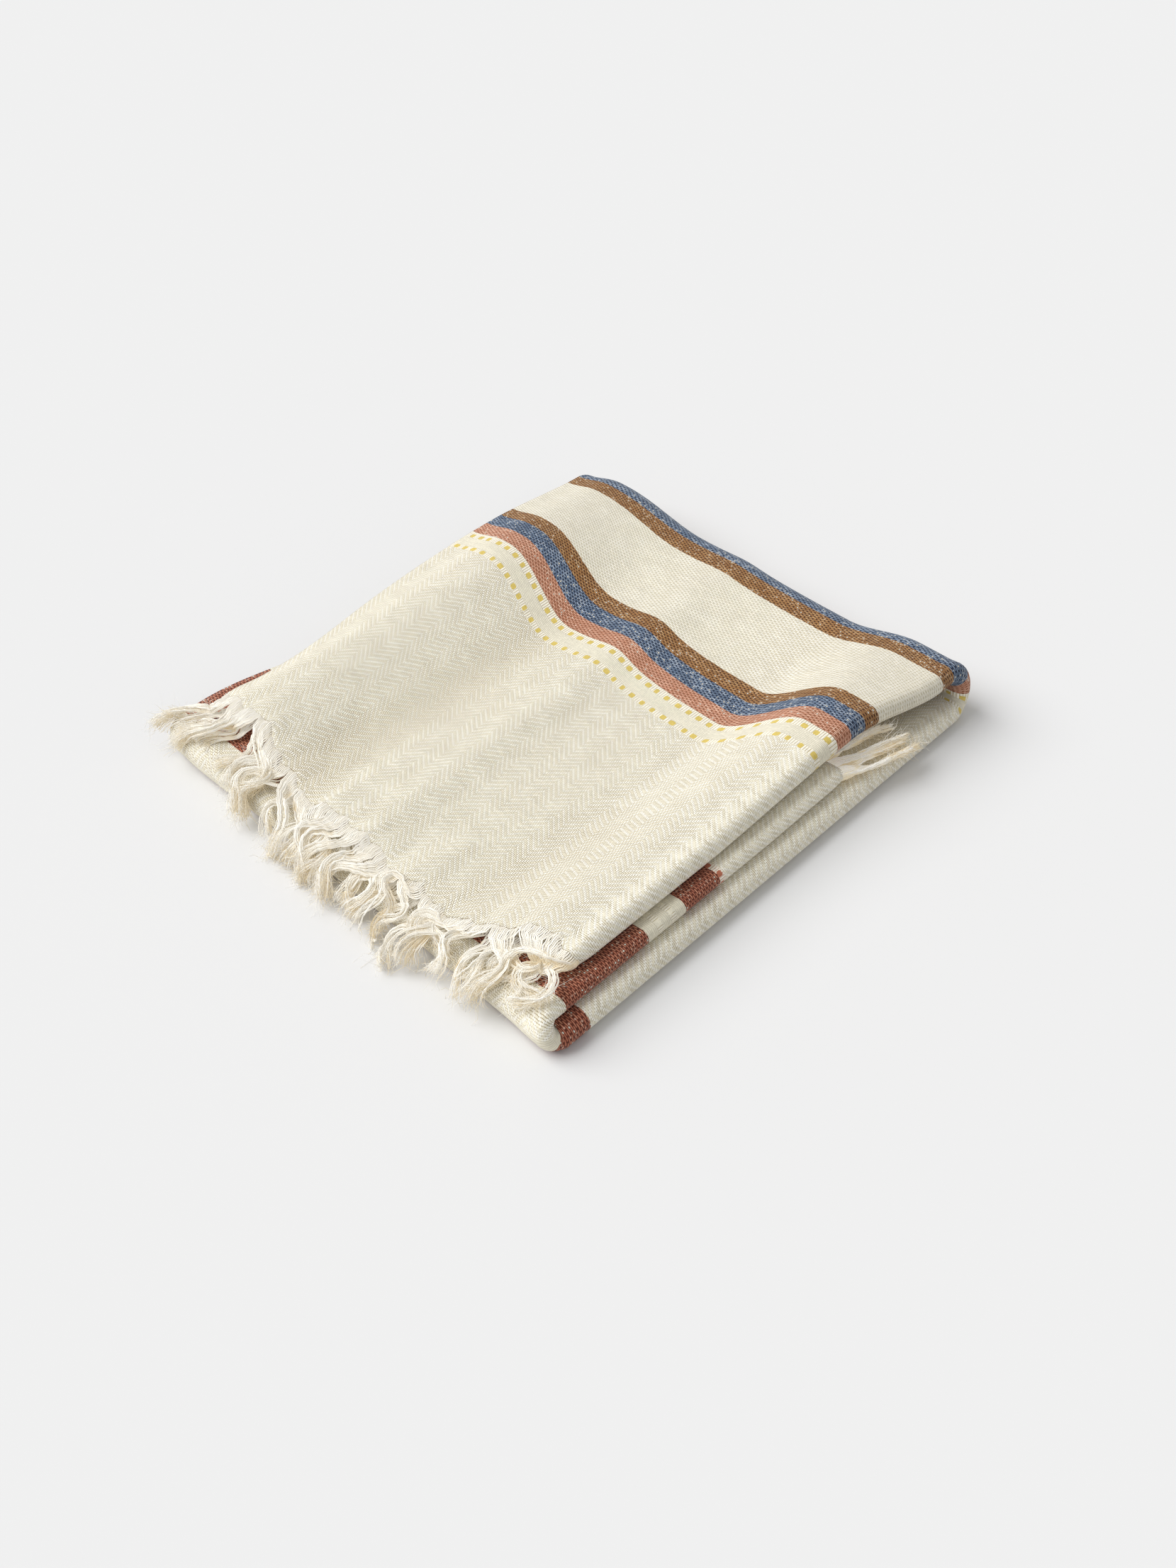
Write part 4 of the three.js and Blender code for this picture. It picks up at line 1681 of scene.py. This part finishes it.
@dataclass
class TuckedFringe:
    """The loose yarns at the cloth's other end, inside the back fold.

    Attributes:
        folding: how the cloth lies.
        sizes: the yarns' sizes.
        inset: how far inside the cloth's end a yarn starts.
        shown: how much of each layer's end, next to the loop, shows at the side.
        lengths: how long the shortest and the longest bunch are, against their group's length.
        sway: how far a bunch sways to either side.
        sways: how many half waves it makes, at least and at most.
        levels: the share of the pocket's height at which a bunch lies, at least and at most.
        pile: the most that a bunch lies above the pocket's floor.
        pocket_right: how far right the pocket's floor and roof are still worked out.
        fan_over: from where to where the yarns near the loop fan out more and more.
        fan: how far they lean out there, in radians.
        fibres: the loose fibres where it shows.
    """

    folding: Folding
    sizes: YarnSizes = YarnSizes(gathered=0.7, thick=0.7, wave=0.22, wave_length=7.0, stray=0.8, part=0.6)
    inset: float = 1.6
    shown: float = 60.0
    lengths: tuple[float, float] = (0.88, 1.08)
    sway: float = 2.2
    sways: tuple[float, float] = (0.8, 1.8)
    levels: tuple[float, float] = (0.15, 0.8)
    pile: float = 5.0
    pocket_right: float = 112.0
    fan_over: tuple[float, float] = (88.0, 118.0)
    fan: float = 0.26
    fibres: Fibres = Fibres(frays=2, fray_length=6.0, hairs=160, hair_length=5.0)

    def groups(self) -> tuple[LockGroup, ...]:
        """The outer layer's hidden bunches, those that show round the loop, and the inner layer's
        hidden ones."""
        hidden = {"pitch": 1.5, "least": 5, "most": 9, "length": 42.0, "steps": 9, "plies": 1}
        open_side = {"pitch": 0.85, "least": 7, "most": 12, "length": 45.0, "steps": 24, "plies": 3}
        first = Place.OUTER - self.shown
        last = Place.OUTER + Place.LOOP + self.shown
        return (LockGroup(first=1.0, last=first, seed=21, **hidden),
                LockGroup(first=first, last=last, seed=23, **open_side),
                LockGroup(first=last, last=Place.width() - 1, seed=25, **hidden))

    def guides(self, group: LockGroup, roots: Array) -> Array:
        """The lines of the bunches: back into the pocket, swaying a little, and sinking from the
        height of their root towards the pocket's floor."""
        root = group.centres(roots)
        share = group.shares()[None, :]
        length = (group.length * group.uneven(*self.lengths))[:, None] * share
        lean = self.fan * ease(root[:, 0], *self.fan_over)[:, None]
        sway = group.uneven(-self.sway, self.sway)[:, None]
        sway = sway * np.sin(np.pi * share * group.uneven(*self.sways)[:, None])
        x = root[:, :1] + sway + length * np.sin(lean)
        y = root[:, 1:2] + length * np.cos(lean)
        floor, roof = self.folding.pocket(np.minimum(x, self.pocket_right), y)
        level = group.uneven(*self.levels)[:, None]
        resting = floor + np.minimum((roof - floor) * level, self.pile) + self.sizes.thick
        z = lerp(root[:, 2:3], resting, ease(share, 0.0, 0.5))
        return np.stack([x, y, z], axis=-1)

    def build(self, row_frame: RowFrame, material: bpy.types.Material) -> bpy.types.Object:
        """Makes the fringe, finer at the side where it shows."""
        mesh = YarnMesh()
        last = np.float64(1 - self.inset / Stretch.TUCKED.value.length)
        for group in self.groups():
            roots = self.folding.points(Stretch.TUCKED, last, Place.at(group.reach))
            bunching = Bunching(group, self.sizes)
            yarns = bunching.yarns(roots, self.guides(group, roots))
            tones = group.rng.uniform(0, 1, len(yarns))
            if group.plies > 1:
                plies = bunching.plies(yarns)
                tones = np.tile(tones, group.plies)
                mesh.add(plies, self.sizes.ply * np.linspace(1, 0.7, group.steps), tones)
                bunching.add_fibres(mesh, plies, tones, self.fibres)
            else:
                mesh.add(yarns, self.sizes.ply * np.linspace(2, 1.2, group.steps), tones)
        return mesh.build("tucked_fringe_yarns", row_frame, material)


@dataclass(frozen=True)
class Studio:
    """The floor, the lights and the camera.

    Attributes:
        target: what the camera looks at, in the towel's own frame.
        distance: how far away the camera is.
        azimuth: the camera's heading, in degrees from +Y.
        elevation: how far it looks down, in degrees.
        focal_pixels: its focal length in pixels of the photograph's frame.
        image_width: the photograph's width.
        image_height: the photograph's height.
        floor_size: how long the floor's sides are.
        floor_colour: its colour.
        sun_from: the direction that the light comes from.
        sun_strength: how strong the light is.
        sun_angle: how wide it looks from the towel, in degrees.
        surround: how strong the pale surround is.
    """

    target: tuple[float, float, float] = (47.64, -46.42, 27.0)
    distance: float = 691.5
    azimuth: float = -44.03
    elevation: float = 44.33
    focal_pixels: float = 2200.0
    image_width: int = 1659
    image_height: int = 2212
    floor_size: float = 9000.0
    floor_colour: Colour = linear(226, 226, 226)
    sun_from: tuple[float, float, float] = (-1.2, -0.85, 1.5)
    sun_strength: float = 2.85
    sun_angle: float = 50.0
    surround: float = 0.5

    def camera(self, row_frame: RowFrame) -> None:
        """Makes the camera; its sensor's width belongs to the image's long side."""
        azimuth, elevation = math.radians(self.azimuth), math.radians(self.elevation)
        forward = np.array([math.sin(azimuth) * math.cos(elevation),
                            math.cos(azimuth) * math.cos(elevation), -math.sin(elevation)])
        target = row_frame.metres(np.array(self.target))
        data = bpy.data.cameras.new("camera")
        data.sensor_width = 36.0
        data.lens = self.focal_pixels / max(self.image_width, self.image_height) * data.sensor_width
        data.clip_start = 0.01
        data.clip_end = 50.0
        camera = bpy.data.objects.new("camera", data)
        camera.location = Vector(target - forward * self.distance * MM)
        camera.rotation_euler = Vector(forward).to_track_quat("-Z", "Y").to_euler()
        bpy.context.scene.collection.objects.link(camera)
        bpy.context.scene.camera = camera

    def floor(self) -> None:
        """Makes the floor, a flat square under the towel."""
        half = self.floor_size * MM / 2
        corners = [(-half, -half, 0), (half, -half, 0), (half, half, 0), (-half, half, 0)]
        mesh = bpy.data.meshes.new("floor")
        mesh.from_pydata(corners, [], [(0, 1, 2, 3)])
        floor = bpy.data.objects.new("floor", mesh)
        shader = Shader("pale_floor")
        inputs = {"Base Color": self.floor_colour, "Roughness": 1.0, "Specular IOR Level": 0.0}
        surface = shader.node("ShaderNodeBsdfPrincipled", {}, inputs)
        shader.node("ShaderNodeOutputMaterial", {}, {0: surface.outputs[0]})
        mesh.materials.append(shader.material)
        bpy.context.scene.collection.objects.link(floor)
        floor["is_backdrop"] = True

    def lights(self) -> None:
        """Makes the lights: a wide soft one from the left and a pale surround."""
        data = bpy.data.lights.new("key", "SUN")
        data.energy = self.sun_strength
        data.angle = math.radians(self.sun_angle)
        lamp = bpy.data.objects.new("key", data)
        lamp.rotation_euler = (-Vector(self.sun_from)).to_track_quat("-Z", "Y").to_euler()
        bpy.context.scene.collection.objects.link(lamp)
        world = bpy.data.worlds.new("surround")
        world.use_nodes = True
        background = world.node_tree.nodes["Background"]
        background.inputs["Color"].default_value = (1, 1, 1, 1)
        background.inputs["Strength"].default_value = self.surround
        bpy.context.scene.world = world
        bpy.context.scene.view_settings.view_transform = "Standard"


CREASES = (
    Crease((-92, -130), (-96, 40), 15, 1.2),
    Crease((-46, -140), (-46, 30), 15, -1.4),
    Crease((-58, -128), (-60, -88), 9, -1.2),
    Crease((-30, -134), (-30, -70), 6, 0.8),
    Crease((-4, -138), (-4, -5), 8, 1.2),
    Crease((25, -140), (32, -108), 6, 1.4),
    Crease((60, -134), (70, -60), 16, -0.8),
)


def main() -> None:
    """Builds the towel's pieces in order, and the studio round them."""
    logging.basicConfig(level=logging.INFO, format="%(name)s: %(message)s")
    folding = Folding(creases=CREASES)
    smooth = ClothSheet(Folding())
    row_frame = RowFrame.fitted(np.concatenate(smooth.faces_of_sheet()).reshape(-1, 3))
    LOG.info("the row's frame is shifted by %s mm", row_frame.shift.round(3))
    studio = Studio()
    studio.camera(row_frame)
    studio.floor()
    studio.lights()

    yarn = LooseCotton().dress()
    cloth = ClothSheet(folding).build(row_frame, WovenCotton())
    front, under, fibres = FrontFringe(folding).build(row_frame, yarn)
    tucked = TuckedFringe(folding).build(row_frame, yarn)
    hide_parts("cloth")
    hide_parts("front_fringe")
    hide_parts("tucked_fringe")
    fringes = [front, under, fibres, tucked]
    for piece in (cloth, *fringes):
        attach(piece, "root")
    bounds = {"cad": [list(corner) for corner in CAD_BOUNDS],
              "visual": [list(corner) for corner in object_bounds()]}
    LOG.info("CAD box %s, visual box %s", bounds["cad"], bounds["visual"])


if __name__ == "__main__":
    main()
